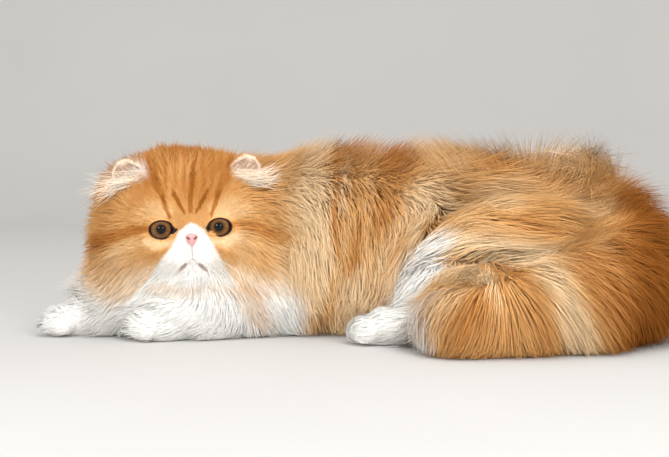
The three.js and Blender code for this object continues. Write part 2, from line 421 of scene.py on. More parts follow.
def settle_mesh(bm, chosen, rounds):
    """Evens out the chosen points of the skin, or all of them, and settles them again, a few rounds of both."""
    verts = [v for v in bm.verts if chosen is None or v.index in chosen]
    axes = dict(use_axis_x=True, use_axis_y=True, use_axis_z=True)
    for smoothing, steps in rounds:
        bmesh.ops.smooth_vert(bm, verts=verts, factor=smoothing, **axes)
        p = settle(np.array([v.co for v in verts]), skin_form, steps)
        for v, co in zip(verts, p):
            v.co = co


set_points(skin_mesh, settle(points_of(skin_mesh), skin_form, 5, 4.0))
bm = bmesh.new()
bm.from_mesh(skin_mesh)
settle_mesh(bm, None, [(0.5, 2)])


def in_face(p, width, back, low, high):
    q = to_head(p)
    return (np.abs(q[:, 0]) < width) & (q[:, 1] < back) & (q[:, 2] > low) & (q[:, 2] < high)


for width, back, low, high in ((58, 30, -56, 44), (42, 18, -46, 22)):
    middles = np.array([f.calc_center_median() for f in bm.faces])
    inside = in_face(middles, width, back, low, high)
    split = {e for f, yes in zip(bm.faces, inside) if yes for e in f.edges}
    in_order = [e for e in bm.edges if e in split]
    bmesh.ops.subdivide_edges(bm, edges=in_order, cuts=1, use_grid_fill=True)
    bm.verts.index_update()
    places = np.array([v.co for v in bm.verts])
    chosen = set(np.flatnonzero(in_face(places, width + 3, back + 3, low - 3, high + 3)).tolist())
    settle_mesh(bm, chosen, [(0.5, 2), (0.5, 3), (0.3, 3)])
bm.to_mesh(skin_mesh)
bm.free()
skin_points = points_of(skin_mesh)
off_form = np.abs(skin_form(skin_points)).mean().round(3)
print("skin:", len(skin_mesh.polygons), "faces, off the form by", off_form, "mm")
skin_q = to_head(skin_points)
opening = past_lids(skin_q) < 0
skin_q[opening, 1] = EYES[1][1]
skin_points[opening] = from_head(skin_q[opening])
print("points behind the eyes' openings:", opening.sum())

# %% [markdown]
# ## The outer form of the coat
# The hair must fill the solids and no more, so the same masses as the solids have are set up here as a
# second field. Each point between skin and outer form then has a level, from 0 at the root to 1 at the
# coat's surface.

# %% Masses of the coat
CROWN = 66.0
CHEEK = 85.0
coat_head = melt(
    9,
    melt(
        24,
        ellipsoid((0, 56, CROWN - 52), (78, 58, 52)),
        *[ellipsoid((s * 43, 70, CROWN - 39), (30, 32, 29)) for s in SIDES],
        *[ellipsoid((s * (CHEEK - 48), 50, -22), (48, 48, 42)) for s in SIDES],
        ellipsoid((0, 35, -8), (56, 36, 44)),
    ),
    *[ellipsoid((s * 12, 7, -25), (20, 17, 14)) for s in SIDES],
    ellipsoid((0, 11, -43), (17, 15, 11)),
    ellipsoid((0, 2, -6), (8, 8, 12)),
)
coat_head = scoop(6, coat_head, *[ellipsoid((s * 24.5, -17, 0), (20, 20, 16)) for s in SIDES])
coat_trunk = melt(
    40,
    ellipsoid((-27, 102, 72), (84, 82, 84)),
    ellipsoid((27, 105, 70), (95, 86, 93)),
    ellipsoid((101, 107, 68), (103, 78, 90)),
    ellipsoid((15, 103, 18), (110, 94, 40)),
)
coat_neck = melt(30, ellipsoid((-84, 92, 90), (70, 66, 64)), ellipsoid((-112, 84, 60), (84, 62, 56)))
coat_chest = melt(
    24,
    ellipsoid((-122, 62, 34), (92, 56, 46)),
    ellipsoid((-170, 70, 30), (54, 44, 40)),
    ellipsoid((-84, 58, 22), (70, 48, 38)),
)
coat_haunches = [
    melt(30, ellipsoid((142, y, 54), (80, 48, 68)), ellipsoid((96, y + shin, 42), (48, 34, 46)))
    for y, shin in ((34, -6), (178, 6))
]
PAST_TOES = 7.0
coat_paws = []
for a, b, c in np.array(list(FOREPAWS.values())):
    coat_paws.append(limb([a * (1, 1, 0.8), b * (1, 1, 0.9), c + unit(c - b) * PAST_TOES], [17, 17, 16]))
for points in np.array(list(HINDPAWS.values())):
    coat_paws.append(limb(points * (1, 1, 0.9), [19, 16, 16.5, 15]))


TAIL_COAT_END = 36.0
TAIL_COAT_SOFTNESS = 12.0


def tail_coat(p):
    """The hair of the tail stands out further on the outside of its bend and above it."""
    best = np.full(len(p), FAR)
    outer = np.array([44, 62, 78, 84, 70, 56, 47], float)
    inner = np.array([44, 44, 40, 38, 36, 38, 38], float)
    above = np.array([70, 78, 72, 70, 58, 47, 43], float)
    points = np.array(TAIL, float)
    points[-1] = (92, -58, 26)
    for i, (a, b) in enumerate(zip(points, points[1:])):
        t, gap = nearest_on(p, a, b)
        forward = unit(b - a)
        left = unit(np.cross((0, 0, 1), forward))
        up = np.cross(forward, left)
        side = gap @ left
        out, within, high = (row[i] + t * (row[i + 1] - row[i]) for row in (outer, inner, above))
        wide = np.where(side > 0, out, within)
        size = np.sqrt((side / wide) ** 2 + (gap @ up / high) ** 2 + (gap @ forward / TAIL_COAT_END) ** 2)
        best = soft_least(best, (size - 1) * np.minimum(wide, high), TAIL_COAT_SOFTNESS)
    return best


def coat_form(p):
    """The whole outer form. The rear masses melt together widely, and the rest only near their joins."""
    value = coat_head(to_head(p))
    for other in (coat_neck, coat_chest, *coat_paws):
        value = soft_least(value, other(p), 4.0)
    rear = tail_coat(p)
    for haunch in coat_haunches:
        rear = soft_least(rear, haunch(p), 34.0)
    return soft_least(value, soft_least(rear, coat_trunk(p), 12.0), 4.0)


depth = -coat_form(skin_points)
print("coat depth over the skin, mm: least", depth.min().round(1), "mean", depth.mean().round(1))

# %% [markdown]
# ## Regions
# Hair on a paw lies quite differently from hair on a ruff, and the change from one to the next is gradual.
# Each point gets a share of every region, from how close each region's own mass is.

# %% Shares of the regions
REGIONS = {
    "trunk": trunk,
    "ruff": neck,
    "head": in_head(melt(16, skull, *jowls, brow, *pads, chin)),
    "legs": melt(6, *forepaws.values(), *hindpaws.values()),
    "haunch": melt(6, *haunches.values()),
    "tail": tail,
}
REGION_NAMES = list(REGIONS)
CHANGE_WIDTH = 7.0


def shares(p):
    """How much each region has of each point, summing to 1."""
    distances = np.stack([field(p) for field in REGIONS.values()], 1)
    weight = np.exp(-(distances - distances.min(1, keepdims=True)) / CHANGE_WIDTH)
    weight /= weight.sum(1, keepdims=True)
    return {name: weight[:, i] for i, name in enumerate(REGION_NAMES)}


def mix_regions(share, values):
    """The regions' values, or rows of values, mixed by their shares."""
    total = 0
    for name, part in share.items():
        value = np.asarray(values[name], float)
        total = total + (part[:, None] * value if value.ndim == 2 else part * value)
    return total


# %% [markdown]
# ## Markings
# A red tabby has bands of deep and pale red, and this one is also white on the muzzle, bib, paws and hind
# leg. The markings are painted by functions of place, so the skin and every tuft on it take the same
# colour. A stroke is a soft line with a width. The face's strokes are given in the head's own x and z, and
# the flank's in X and Z.
# Not every stroke is coat colour. The dimmed white below the chin is painted shade, and the deeper red at the right
# end of the tail is partly painted shade.

# %% Colours and strokes
COATS = {
    "deep": (0.30, 0.095, 0.016),
    "red": (0.50, 0.195, 0.046),
    "gold": (0.72, 0.385, 0.145),
    "cream": (0.88, 0.62, 0.36),
    "white": (0.93, 0.905, 0.86),
}
SHADES = np.array([COATS["cream"], COATS["gold"], COATS["red"], COATS["deep"]])


def stroke(x, z, points, width, soft=0.6):
    """1 along a line through the points, falling to 0 beyond the width. Widths can change along the line."""
    points = np.array(points, float)
    widths = np.broadcast_to(np.asarray(width, float), (len(points),))
    best = np.zeros(len(x))
    spot = np.stack([x, z], 1)
    for a, b, wa, wb in zip(points, points[1:], widths, widths[1:]):
        t, gap = nearest_on(spot, a, b)
        wide = wa + t * (wb - wa)
        best = np.maximum(best, 1 - fade(np.linalg.norm(gap, axis=1), wide * (1 - soft), wide * (1 + soft)))
    return best


BLAZE = ([-4, -2.8, 2.2, 12.3, 22, 32.4, 38.9, 46, 56], [-4, 1.0, 8.2, 13.6, 20.5, 27, 33, 40, 52])
FACE_STROKES = (
    (-0.75, [(18, 14), (29, 15), (38, 11)], (5, 7, 5)),
    (-0.95, [(13, -10), (24, -12.5), (34, -8)], (2.5, 3.5, 2.5)),
    (-0.45, [(38, -7), (62, -15)], 5),
    (-0.35, [(34, -26), (60, -40)], 6),
    (1.60, [(20.5, 24), (19, 17), (16, 9)], (1.5, 1.8, 1.2), 0.5),
    (1.40, [(12.5, 26), (9, 20), (4.5, 11.5)], (1.3, 1.5, 1.0), 0.5),
    (0.55, [(30, 48), (25, 34), (20, 24)], (3, 3, 2)),
    (0.85, [(34, 2), (48, 0), (66, -6)], (2.2, 4.0, 5.5)),
    (0.60, [(20, -15), (34, -23), (54, -32)], (3, 4, 6)),
)


def head_markings(p):
    """The white blaze is half as wide at each height below the eyes as the second row of BLAZE says."""
    q = to_head(p)
    x, z = as_seen(p, FACE[1] - VIEWPOINT[1])
    x, z = x - FACE[0], z - FACE[2]
    z = z - 0.047 * x
    streaks = np.sin(x * 0.95 + 1.6 * ripple(p, 14, 6)) * fade(z, 20, 34) * (1 - fade(np.abs(x), 30, 44))
    x, y = np.abs(x), q[:, 1]
    front = 1 - fade(y, 34, 56)
    tone = 1.30 + 0.22 * ripple(p, 16) + 0.62 * fade(z, 8, 40) * (1 - 0.4 * fade(y, 70, 95))
    tone += 0.22 * streaks - fade(-z, 6, 44)
    tone += 0.95 * stroke(x, z, [(0, 46), (0, 28), (0, 12)], (1.4, 1.8, 1.4), 0.5)
    tone += 0.25 * stroke(x, z, [(70, -10), (74, -34)], 8)
    for strength, *line in FACE_STROKES:
        tone += strength * stroke(x, z, *line) * front
    half = np.interp(-z, *BLAZE)
    white = (1 - fade(x - half + 0.7 * ripple(p, 9, 3), -1.2, 1.6)) * (1 - fade(y, 20, 44))
    white = np.maximum(white, fade(-z + 0.25 * y, 50, 62) * (1 - fade(y, 60, 90)))
    white = np.maximum(white, 0.65 * stroke(x, z, [(36, 42), (52, 40)], (5, 7)) * front)
    return tone, white


FLANK_DISTANCE = 1190.0
FLANK_STROKES = (
    (-1.0, [(-24, 166), (-22, 110), (-20, 60)], (13, 14, 13)),
    (0.60, [(-12, 164), (2, 150)], (6, 8)),
    (0.95, [(-2, 160), (-2, 72)], (2.4, 2.6)),
    (-0.45, [(4, 142), (5, 108)], 3.5),
    (0.45, [(16, 150), (12, 100), (10, 66)], (5, 9, 7)),
    (-0.40, [(27, 110), (31, 90)], 6),
    (0.80, [(44, 156), (46, 126), (34, 104), (16, 74)], (15, 17, 11, 6)),
    (-0.50, [(62, 116), (94, 112)], (10, 9)),
    (0.75, [(74, 96), (92, 92)], (3, 4)),
    (0.55, [(96, 116), (106, 108)], 5),
    (-0.35, [(74, 150), (100, 146)], 10),
    (0.50, [(112, 152), (130, 146)], (12, 12)),
    (0.75, [(-2, 58), (-12, 28), (-28, 0)], (4, 5, 6)),
    (-0.45, [(16, 50), (22, 14)], 8),
    (0.35, [(36, 60), (46, 40)], 5),
)


def trunk_markings(p):
    x, z = as_seen(p, FLANK_DISTANCE)
    crinkle = fade(-z, -112, -96) * (1 - fade(-z, -56, -44)) * fade(x, 4, 14)
    tone = 0.62 - 0.30 * fade(-z, -90, -40) + 0.85 * fade(z, 122, 152) + 0.20 * ripple(p * (1, 1, 0.45), 22)
    tone += (0.15 + 0.22 * crinkle) * ripple(p * (1.3, 1.3, 0.5), 7, 9)
    for strength, points, width in FLANK_STROKES:
        tone = tone + strength * stroke(x + 2.0 * ripple(p, 20, 4), z, points, width)
    white = fade(-x - 0.25 * z, 14, 38) * (1 - fade(z, 46, 72))
    return tone, white


def ruff_markings(p):
    x, z = as_seen(p, FLANK_DISTANCE)
    tone = 1.0 + 0.2 * ripple(p, 18) - 0.5 * fade(x, -66, -40) - 0.35 * (1 - fade(np.abs(z - 66), 4, 20))
    white = (1 - fade(z + 0.12 * (x + 120) + 4 * ripple(p, 15, 5), 48, 70)) * fade(-x, 14, 40)
    white = np.maximum(white, (1 - fade(z, 66, 90)) * fade(-x, 168, 186))
    return tone, white


REAR_DISTANCE = 1090.0
ARC = [(50, 66), (64, 79), (89, 82.5), (118, 79), (140, 72), (156, 57), (171, 34), (182, 12), (188, -4)]
REAR_STROKES = (
    (-1.40, ARC, (5, 6, 5.5, 5, 6, 7, 8, 9, 10)),
    (-1.05, [(68, 52), (84, 62), (101, 63), (118, 56), (127, 43)], (6, 7, 6.5, 5, 3)),
    (-0.75, [(90, 112), (106, 116), (125, 112)], (8, 9, 7)),
    (-0.80, [(176, 116), (194, 104), (208, 88), (216, 72)], (7, 9, 9, 7)),
    (0.35, [(96, 72), (124, 68), (142, 54), (152, 24)], (3, 3.5, 4, 5)),
    (0.35, [(112, 40), (98, 22)], (8, 9)),
    (-0.75, [(70, 50), (86, 44), (100, 46)], (7, 8, 7)),
    (-0.35, [(84, 74), (100, 73)], 4),
    (-0.55, [(60, 52), (66, 14)], 7),
    (0.50, [(130, 98), (156, 84), (176, 60), (196, 24)], (7, 8, 8, 8)),
    (-0.65, [(164, 40), (176, 12)], (7, 9)),
    # This wide deep stroke at the right end is partly the coat's deeper red and partly painted shade where the
    # light falls off.
    (0.85, [(218, 120), (236, 80), (240, 30)], (20, 26, 26)),
    (0.90, [(172, 86), (184, 56), (200, 22)], (8, 10, 12)),
)


def mirrored(p):
    """The far side of the hind part is marked and combed as the mirror image of the near side."""
    return np.where(p[:, 1:2] > MIDLINE, p * (1, -1, 1) + (0, 2 * MIDLINE, 0), p)


def rear_markings(p):
    near = mirrored(p)
    x, z = as_seen(near, REAR_DISTANCE)
    shown = 1 - fade(near[:, 1], 50, 78)
    # The rise in tone towards the right end of the tail is partly the coat's own deeper red and partly painted
    # shade where the light falls off.
    tone = 1.30 + 0.18 * ripple(p, 20) + 1.9 * fade(x, 182, 228) + 0.45 * fade(z, 116, 150)
    for strength, points, width in REAR_STROKES:
        wobbly = x + 1.6 * ripple(p, 22, 4), z + 1.6 * ripple(p, 22, 7)
        tone = tone + strength * stroke(*wobbly, points, width) * shown
    x, z = as_seen(p, REAR_DISTANCE)
    on_back = fade(p[:, 2], 96, 124)
    tone = tone - 1.35 * stroke(x, z, [(130, 158), (152, 166), (180, 152)], (16, 20, 16)) * on_back
    tone = tone + 1.6 * stroke(x, z, [(96, 170), (108, 150)], (18, 15)) * on_back
    white = fade(80 - x + 3 * ripple(p, 12, 8), -8, 8)
    white *= (1 - fade(z, 80, 94)) * (1 - fade(near[:, 1], 30, 60))
    return tone, white


def leg_markings(p):
    return np.full(len(p), 0.4), fade(-p[:, 0] + 70, -16, 6)


def markings(p, share):
    painted = {
        "trunk": trunk_markings(p),
        "ruff": ruff_markings(p),
        "head": head_markings(p),
        "legs": leg_markings(p),
        "haunch": rear_markings(p),
        "tail": rear_markings(p),
    }
    tone = mix_regions(share, {name: value[0] for name, value in painted.items()})
    white = mix_regions(share, {name: value[1] for name, value in painted.items()})
    x, z = as_seen(p, FACE[1] - VIEWPOINT[1])
    # The first stroke is painted shade below the chin, which dims the white there. The second makes the right part
    # of the ruff cream.
    white -= 0.40 * stroke(x, z, [(-144, 47), (-116, 42), (-86, 47)], (4, 5, 4)) * (p[:, 1] < 60)
    white -= 0.45 * stroke(x, z, [(-76, 46), (-66, 26)], (9, 8)) * (p[:, 1] < 60)
    return np.clip(tone, 0, 3), np.clip(white, 0, 1)


def coat_colour(tone, white):
    low = np.clip(tone.astype(int), 0, 2)
    part = (tone - low)[:, None]
    shade = SHADES[low] * (1 - part) + SHADES[low + 1] * part
    return shade * (1 - white[:, None]) + np.array(COATS["white"]) * white[:, None]


print("markings:", len(FACE_STROKES), "strokes on the face,", len(FLANK_STROKES) + len(REAR_STROKES), "on the body")

# %% [markdown]
# ## Hair and skin materials
# The tufts are quite dull, because the gloss of single hairs would read as wet streaks on tufts as wide as
# these. The colour comes from the painted attribute, broken up by noise at two sizes, because no two hairs
# match. The skin has some relief as well.


# %% Materials that read the painted colour
def material(name, roughness, **sockets):
    made = bpy.data.materials.new(name)
    made.use_nodes = True
    shader = made.node_tree.nodes["Principled BSDF"]
    shader.inputs["Roughness"].default_value = roughness
    for key, value in sockets.items():
        shader.inputs[key.replace("_", " ")].default_value = value
    return made, made.node_tree, shader


def node(tree, kind, **sockets):
    """A new node. A socket is given a number, a tuple, or the output that drives it."""
    made = tree.nodes.new("ShaderNode" + kind)
    for key, value in sockets.items():
        socket = made.inputs[key.replace("_", " ")]
        if isinstance(value, bpy.types.NodeSocket):
            tree.links.new(value, socket)
        else:
            socket.default_value = value
    return made


def attribute(tree, name):
    made = node(tree, "Attribute")
    made.attribute_name = name
    return made


def multiplied(tree, a, b):
    mix = tree.nodes.new("ShaderNodeMix")
    mix.data_type = "RGBA"
    mix.blend_type = "MULTIPLY"
    mix.inputs["Factor"].default_value = 1
    tree.links.new(a, mix.inputs["A"])
    tree.links.new(b, mix.inputs["B"])
    return mix.outputs["Result"]


def spread_level(tree, noise, low, high):
    """Spreads the middle of a noise's range over low to high."""
    values = {"From Min": 0.3, "From Max": 0.7, "To Min": low, "To Max": high}
    return node(tree, "MapRange", Value=noise.outputs["Fac"], **values).outputs["Result"]


def relief(tree, shader, height, strength, depth):
    bump = node(tree, "Bump", Strength=strength, Distance=depth, Height=height)
    tree.links.new(bump.outputs["Normal"], shader.inputs["Normal"])


def painted(name, fine, coarse, strength, roughness, bump, **sockets):
    """A material whose colour is the attribute "coat", varied by noise at two sizes, both in metres."""
    made, tree, shader = material(name, roughness, **sockets)
    colour = attribute(tree, "coat").outputs["Color"]
    place = node(tree, "TexCoord").outputs["Object"]
    for size, share in ((coarse, strength * 0.6), (fine, strength)):
        noise = node(tree, "TexNoise", Scale=1 / size, Detail=3, Vector=place)
        colour = multiplied(tree, colour, spread_level(tree, noise, 1 - share, 1 + share * 0.6))
    tree.links.new(colour, shader.inputs["Base Color"])
    if bump:
        relief(tree, shader, noise.outputs["Fac"], bump, 0.0006)
    return made


def two_tone(tree, noise, dark, pale):
    ramp = node(tree, "ValToRGB", Fac=noise.outputs["Fac"])
    ramp.color_ramp.elements[0].color = (*dark, 1)
    ramp.color_ramp.elements[1].color = (*pale, 1)
    return ramp.outputs["Color"]


def mottled(name, roughness, per_metre, dark, pale, **sockets):
    """A material that wanders between two colours, a given number of times in each metre."""
    made, tree, shader = material(name, roughness, **sockets)
    noise = node(tree, "TexNoise", Scale=per_metre, Vector=node(tree, "TexCoord").outputs["Object"])
    tree.links.new(two_tone(tree, noise, dark, pale), shader.inputs["Base Color"])
    return made


hair = painted("hair", 0.0022, 0.016, 0.09, 0.8, 0, Specular_IOR_Level=0.0)
skin_surface = painted("skin", 0.0012, 0.010, 0.18, 0.8, 0.5, Specular_IOR_Level=0.05)
print("materials:", hair.name, skin_surface.name)


# %% Paint the skin
def paint(mesh, colours):
    layer = mesh.color_attributes.new("coat", "FLOAT_COLOR", "POINT")
    rgba = np.ones((len(colours), 4), np.float32)
    rgba[:, :3] = colours
    layer.data.foreach_set("color", rgba.ravel())


skin_share = shares(skin_points)
skin_tone, skin_white = markings(skin_points, skin_share)
skin_colour = coat_colour(skin_tone, skin_white)
rim = fade(np.minimum(past_lids(skin_q), past_corner(skin_q, 2.8, 1.3)), 0.2, 1.0)
# Round the cleft and arms of the mouth, the skin is painted grey-brown. This is partly lip colour and partly
# painted shade in the mouth's crease.
lip_and_crease_shade = 1 - fade(past_lips(skin_q), 0.0, 0.7)
skin_colour = skin_colour * rim[:, None] + np.array((0.075, 0.035, 0.03)) * (1 - rim[:, None])
skin_colour = skin_colour * (1 - 0.75 * lip_and_crease_shade[:, None]) + np.array((0.30, 0.18, 0.15)) * 0.75 * lip_and_crease_shade[:, None]
paint(skin_mesh, skin_colour)
print("painted", len(skin_colour), "points of skin")

# %% [markdown]
# ## Unwrapping the skin
# The coat pieces need a map that says where on the body each tuft grows, and the skin's own unwrap gives
# that.

# %% Unwrap
skin_mesh.name = "skin"
skin = new_object("skin", skin_mesh, skin_surface)
shade_smooth(skin_mesh)
bpy.context.view_layer.objects.active = skin
skin.select_set(True)
bpy.ops.object.mode_set(mode="EDIT")
bpy.ops.mesh.select_all(action="SELECT")
bpy.ops.uv.smart_project(angle_limit=math.radians(66), island_margin=0.002)
bpy.ops.object.mode_set(mode="OBJECT")
skin_mesh.uv_layers[0].name = "OFBake"
skin_mesh.calc_loop_triangles()
count = len(skin_mesh.loop_triangles)
corners = np.empty(count * 3, np.int32)
loops = np.empty(count * 3, np.int32)
skin_mesh.loop_triangles.foreach_get("vertices", corners)
skin_mesh.loop_triangles.foreach_get("loops", loops)
corners, loops = corners.reshape(-1, 3), loops.reshape(-1, 3)
flat_uv = np.empty(len(skin_mesh.loops) * 2, np.float32)
skin_mesh.uv_layers[0].data.foreach_get("uv", flat_uv)
skin_uv = flat_uv.reshape(-1, 2)[loops]
triangles = skin_points[corners]
cross = np.cross(triangles[:, 1] - triangles[:, 0], triangles[:, 2] - triangles[:, 0])
areas = np.linalg.norm(cross, axis=1) / 2
middles = triangles.mean(1)
facing = unit(slope(skin_form, middles, 0.5))
areas *= (unit(cross) * facing).sum(1) > 0.2
middle_share = shares(middles)
print("skin area, m2:", (areas.sum() / 1e6).round(3), "in", count, "triangles")

# %% [markdown]
# ## How the hair lies
# Hair on the face fans out from the root of the nose. On the trunk it leaves the spine and hangs down the
# sides, in the ruff it hangs forward and down, and on the paws it points at the toes. On the curled tail it
# fans out and down on both sides of a parting, and three drawn lines comb it over the back, over the haunch
# and round the curl. Lengths follow the same regions.

# %% Lie and length
PARTING = ([46, 80, 110, 130], [126, 116, 96, 84])
LEFT_FAN, RIGHT_FAN = (152.0, 98.0), (102.0, 108.0)
UPPER_FLOW = [(84, 92), (110, 100), (140, 96), (168, 78), (190, 48), (204, 14)]
TOP_FLOW = [(92, 122), (130, 128), (172, 118), (206, 88), (226, 46), (234, 12)]
EAR_FRONTS = [np.array([s * 47.0, 24.0, 44.0]) for s in SIDES]


def near_ears(q):
    return 1 - fade(np.minimum(*[np.linalg.norm(q - ear, axis=1) for ear in EAR_FRONTS]), 8, 18)


def line_lie(x, z, points, width):
    """The direction of the line through the points at its nearest place, and how close that is, from 1 to 0."""
    points = np.array(points, float)
    spot = np.stack([x, z], 1)
    best = np.full(len(x), FAR)
    way = np.zeros((len(x), 2))
    for a, b in zip(points, points[1:]):
        gap = np.linalg.norm(nearest_on(spot, a, b)[1], axis=1)
        way[gap < best] = unit(b - a)
        best = np.minimum(best, gap)
    return way, 1 - fade(best, width * 0.4, width * 1.6)


def lie_of(p, share):
    q = to_head(p)
    fan = unit(q - (0, -14, -5)) * (1.0, 0.8, 1.0)
    cheeks = fade(np.abs(q[:, 0]), 26, 56)[:, None] * fade(-q[:, 2], -20, 10)[:, None]
    muzzle = fade(-q[:, 2], 10, 16) * (1 - fade(np.abs(q[:, 0]), 22, 34)) * (1 - fade(q[:, 1], 6, 16))
    down = np.array((0.0, 0.1, -1.0))
    muzzle_way = down * 0.45 + np.clip(q[:, :1] / 7, -1, 1) * (0.5, 0, 0) + (0, 0.25, 0)
    head_way = fan + cheeks * down * 0.45 + muzzle[:, None] * muzzle_way
    away = np.clip((p[:, 1] - MIDLINE) / 60, -1, 1)
    trunk_way = np.stack([0.9 - 0.75 * np.abs(away), away * 0.8, -0.1 - 1.1 * np.abs(away)], 1)
    ruff_way = unit(p - (-108, 74, 116)) * (0.9, 0.9, 0.4) + (0, -0.1, -0.85)
    ruff_way += fade(p[:, 0], -90, -50)[:, None] * (0.3, 0, 0)
    near = mirrored(p)
    flip = np.where(p[:, 1:2] > MIDLINE, -1, 1) * (0, 1, 0) + (1, 0, 1)
    x, z = as_seen(near, REAR_DISTANCE)
    right = fade(x - np.interp(z, *PARTING), -22, 22)
    fans = [np.stack([x - cx, 0.15 * (near[:, 1] - 40), z - cz], 1) for cx, cz in (LEFT_FAN, RIGHT_FAN)]
    rear_way = unit(fans[0]) * (1 - right[:, None]) + unit(fans[1]) * right[:, None] + (0, 0, -0.25)
    rear_way -= (fade(-near[:, 0], -96, -66) * (1 - fade(near[:, 2], 70, 90)))[:, None] * (0, 0, 0.8)
    shown = 1 - fade(near[:, 1], 50, 80)
    for line, width in ((TOP_FLOW, 17), (UPPER_FLOW, 15), (ARC[1:], 9)):
        way, close = line_lie(x, z, line, width)
        swirl = (close * 0.9 * shown)[:, None]
        combed = np.stack([way[:, 0], np.full(len(x), -0.15), way[:, 1]], 1)
        rear_way = unit(rear_way) * (1 - swirl) + combed * swirl
    tail_way = rear_way + (0, -0.1, 0.1)
    legs_way = np.broadcast_to((-1.0, -0.15, -0.15), p.shape)
    return mix_regions(
        share,
        {
            "trunk": unit(trunk_way),
            "ruff": unit(ruff_way),
            "head": unit(head_way) @ HEAD_AXES.T,
            "legs": unit(legs_way),
            "haunch": unit(rear_way) * flip,
            "tail": unit(tail_way) * flip,
        },
    )


def length_of(p, share):
    q = to_head(p)
    from_nose = nose_gap(q)
    head_length = np.interp(from_nose, [0, 10, 22, 40, 60, 85, 110], [2.2, 2.8, 4.2, 12, 30, 42, 44])
    chin_zone = (1 - fade(np.abs(q[:, 0]), 14, 26)) * fade(-q[:, 2], 24, 32) * (1 - fade(q[:, 1], 14, 24))
    at_lids = 0.6 + 0.4 * fade(past_lids(q), 1, 6)
    head_length *= (1 - 0.5 * near_ears(q)) * (1 - 0.65 * chin_zone) * at_lids
    paw_length = np.interp(p[:, 0], [-250, -150, -120, 0, 40, 80], [7, 9, 18, 9, 15, 34])
    haunch_length = np.interp(p[:, 0], [60, 110], [34, 58])
    lengths = {"trunk": 48.0, "ruff": 48.0, "head": head_length, "legs": paw_length}
    lengths |= {"haunch": haunch_length, "tail": 74.0}
    return mix_regions(share, lengths)


def top_of(p, share):
    """How far up through the coat the tufts reach: short hair near the nose and ears lies flatter."""
    q = to_head(p)
    from_nose = nose_gap(q)
    head_top = np.interp(from_nose, [0, 20, 34, 60], [0.35, 0.5, 0.95, 1.3]) * (1 - 0.35 * near_ears(q))
    tops = dict.fromkeys(REGION_NAMES, 1.06)
    tops |= {"trunk": 1.06 + 0.24 * fade(p[:, 2], 90, 125), "head": head_top}
    return mix_regions(share, tops)


# %% [markdown]
# ## Growing tufts
# A tuft is a thin closed sliver with a three-cornered section, widest near its root and drawn out to a
# point. It starts under the skin, follows the lie of the coat, and climbs from level 0 to its own top
# level, so it can neither sink into the body nor stand out of the coat. Neighbours lean towards shared
# centres, which gives locks.


# %% Walk the tufts through the coat
LEAST_DEPTH = 1.2
ROOT_DEPTH = 0.8
FLOOR_GAP = 0.7
CEILING, CEILING_GIVE = 166.0, 13.0


def level_and_depth(p):
    over_skin = skin_form(p)
    depth = np.maximum(over_skin - coat_form(p), LEAST_DEPTH)
    return over_skin / depth, depth


def walk(roots, normals, lie, lengths, tops, steps, stray, rise, lie_at):
    """The tufts' paths. At each step they turn to the lie of the coat there and climb towards their tops."""
    path = [roots - normals * ROOT_DEPTH]
    p = roots.copy()
    way = lie
    for k in range(1, steps + 1):
        g = unit(slope(skin_form, p, 1.5))
        flat = unit(way - (way * g).sum(1, keepdims=True) * g)
        level, depth = level_and_depth(p)
        step = lengths / steps
        climb = np.clip((tops * (k / steps) ** rise - level) * depth, -0.5 * step, 0.94 * step)
        forward = np.sqrt(np.maximum(step**2 - climb**2, 0.05 * step**2))
        p = p + flat * forward[:, None] + g * climb[:, None] + stray * (step * k / steps)[:, None]
        height = np.maximum(p[:, 2], FLOOR_GAP + 1.2 * (1 - k / steps))
        pressed = CEILING + CEILING_GIVE * (1 - np.exp((CEILING - height) / CEILING_GIVE))
        p[:, 2] = np.where(height > CEILING, pressed, height)
        path.append(p.copy())
        if k < steps:
            way = unit(0.5 * flat + 0.5 * unit(lie_at(p, shares(p)) + 0.3 * stray))
    return np.stack(path, 1)


def nearest_index(places, spots):
    tree = KDTree(len(places))
    for i, place in enumerate(places):
        tree.insert(place, i)
    tree.balance()
    return [tree.find(spot)[1] for spot in spots]


def gather(paths, pull, share_of_centres):
    """Leans each tuft towards the tuft at the nearest of some randomly chosen centres."""
    count = len(paths)
    centres = rng.choice(count, max(2, int(count * share_of_centres)), replace=False)
    nearest = centres[nearest_index(paths[centres, 0], paths[:, 0])]
    along = np.linspace(0, 1, paths.shape[1])[None, :, None] ** 1.3
    pull = (pull * rng.uniform(0.2, 1.3, count))[:, None, None]
    return paths + (paths[nearest] - paths) * along * np.clip(pull, 0, 0.9)


# %% Turn the paths into solid tufts
SOFT_SHARE = 0.88
RIDGE_HEIGHT = 0.45
UV_PATCH = 0.003


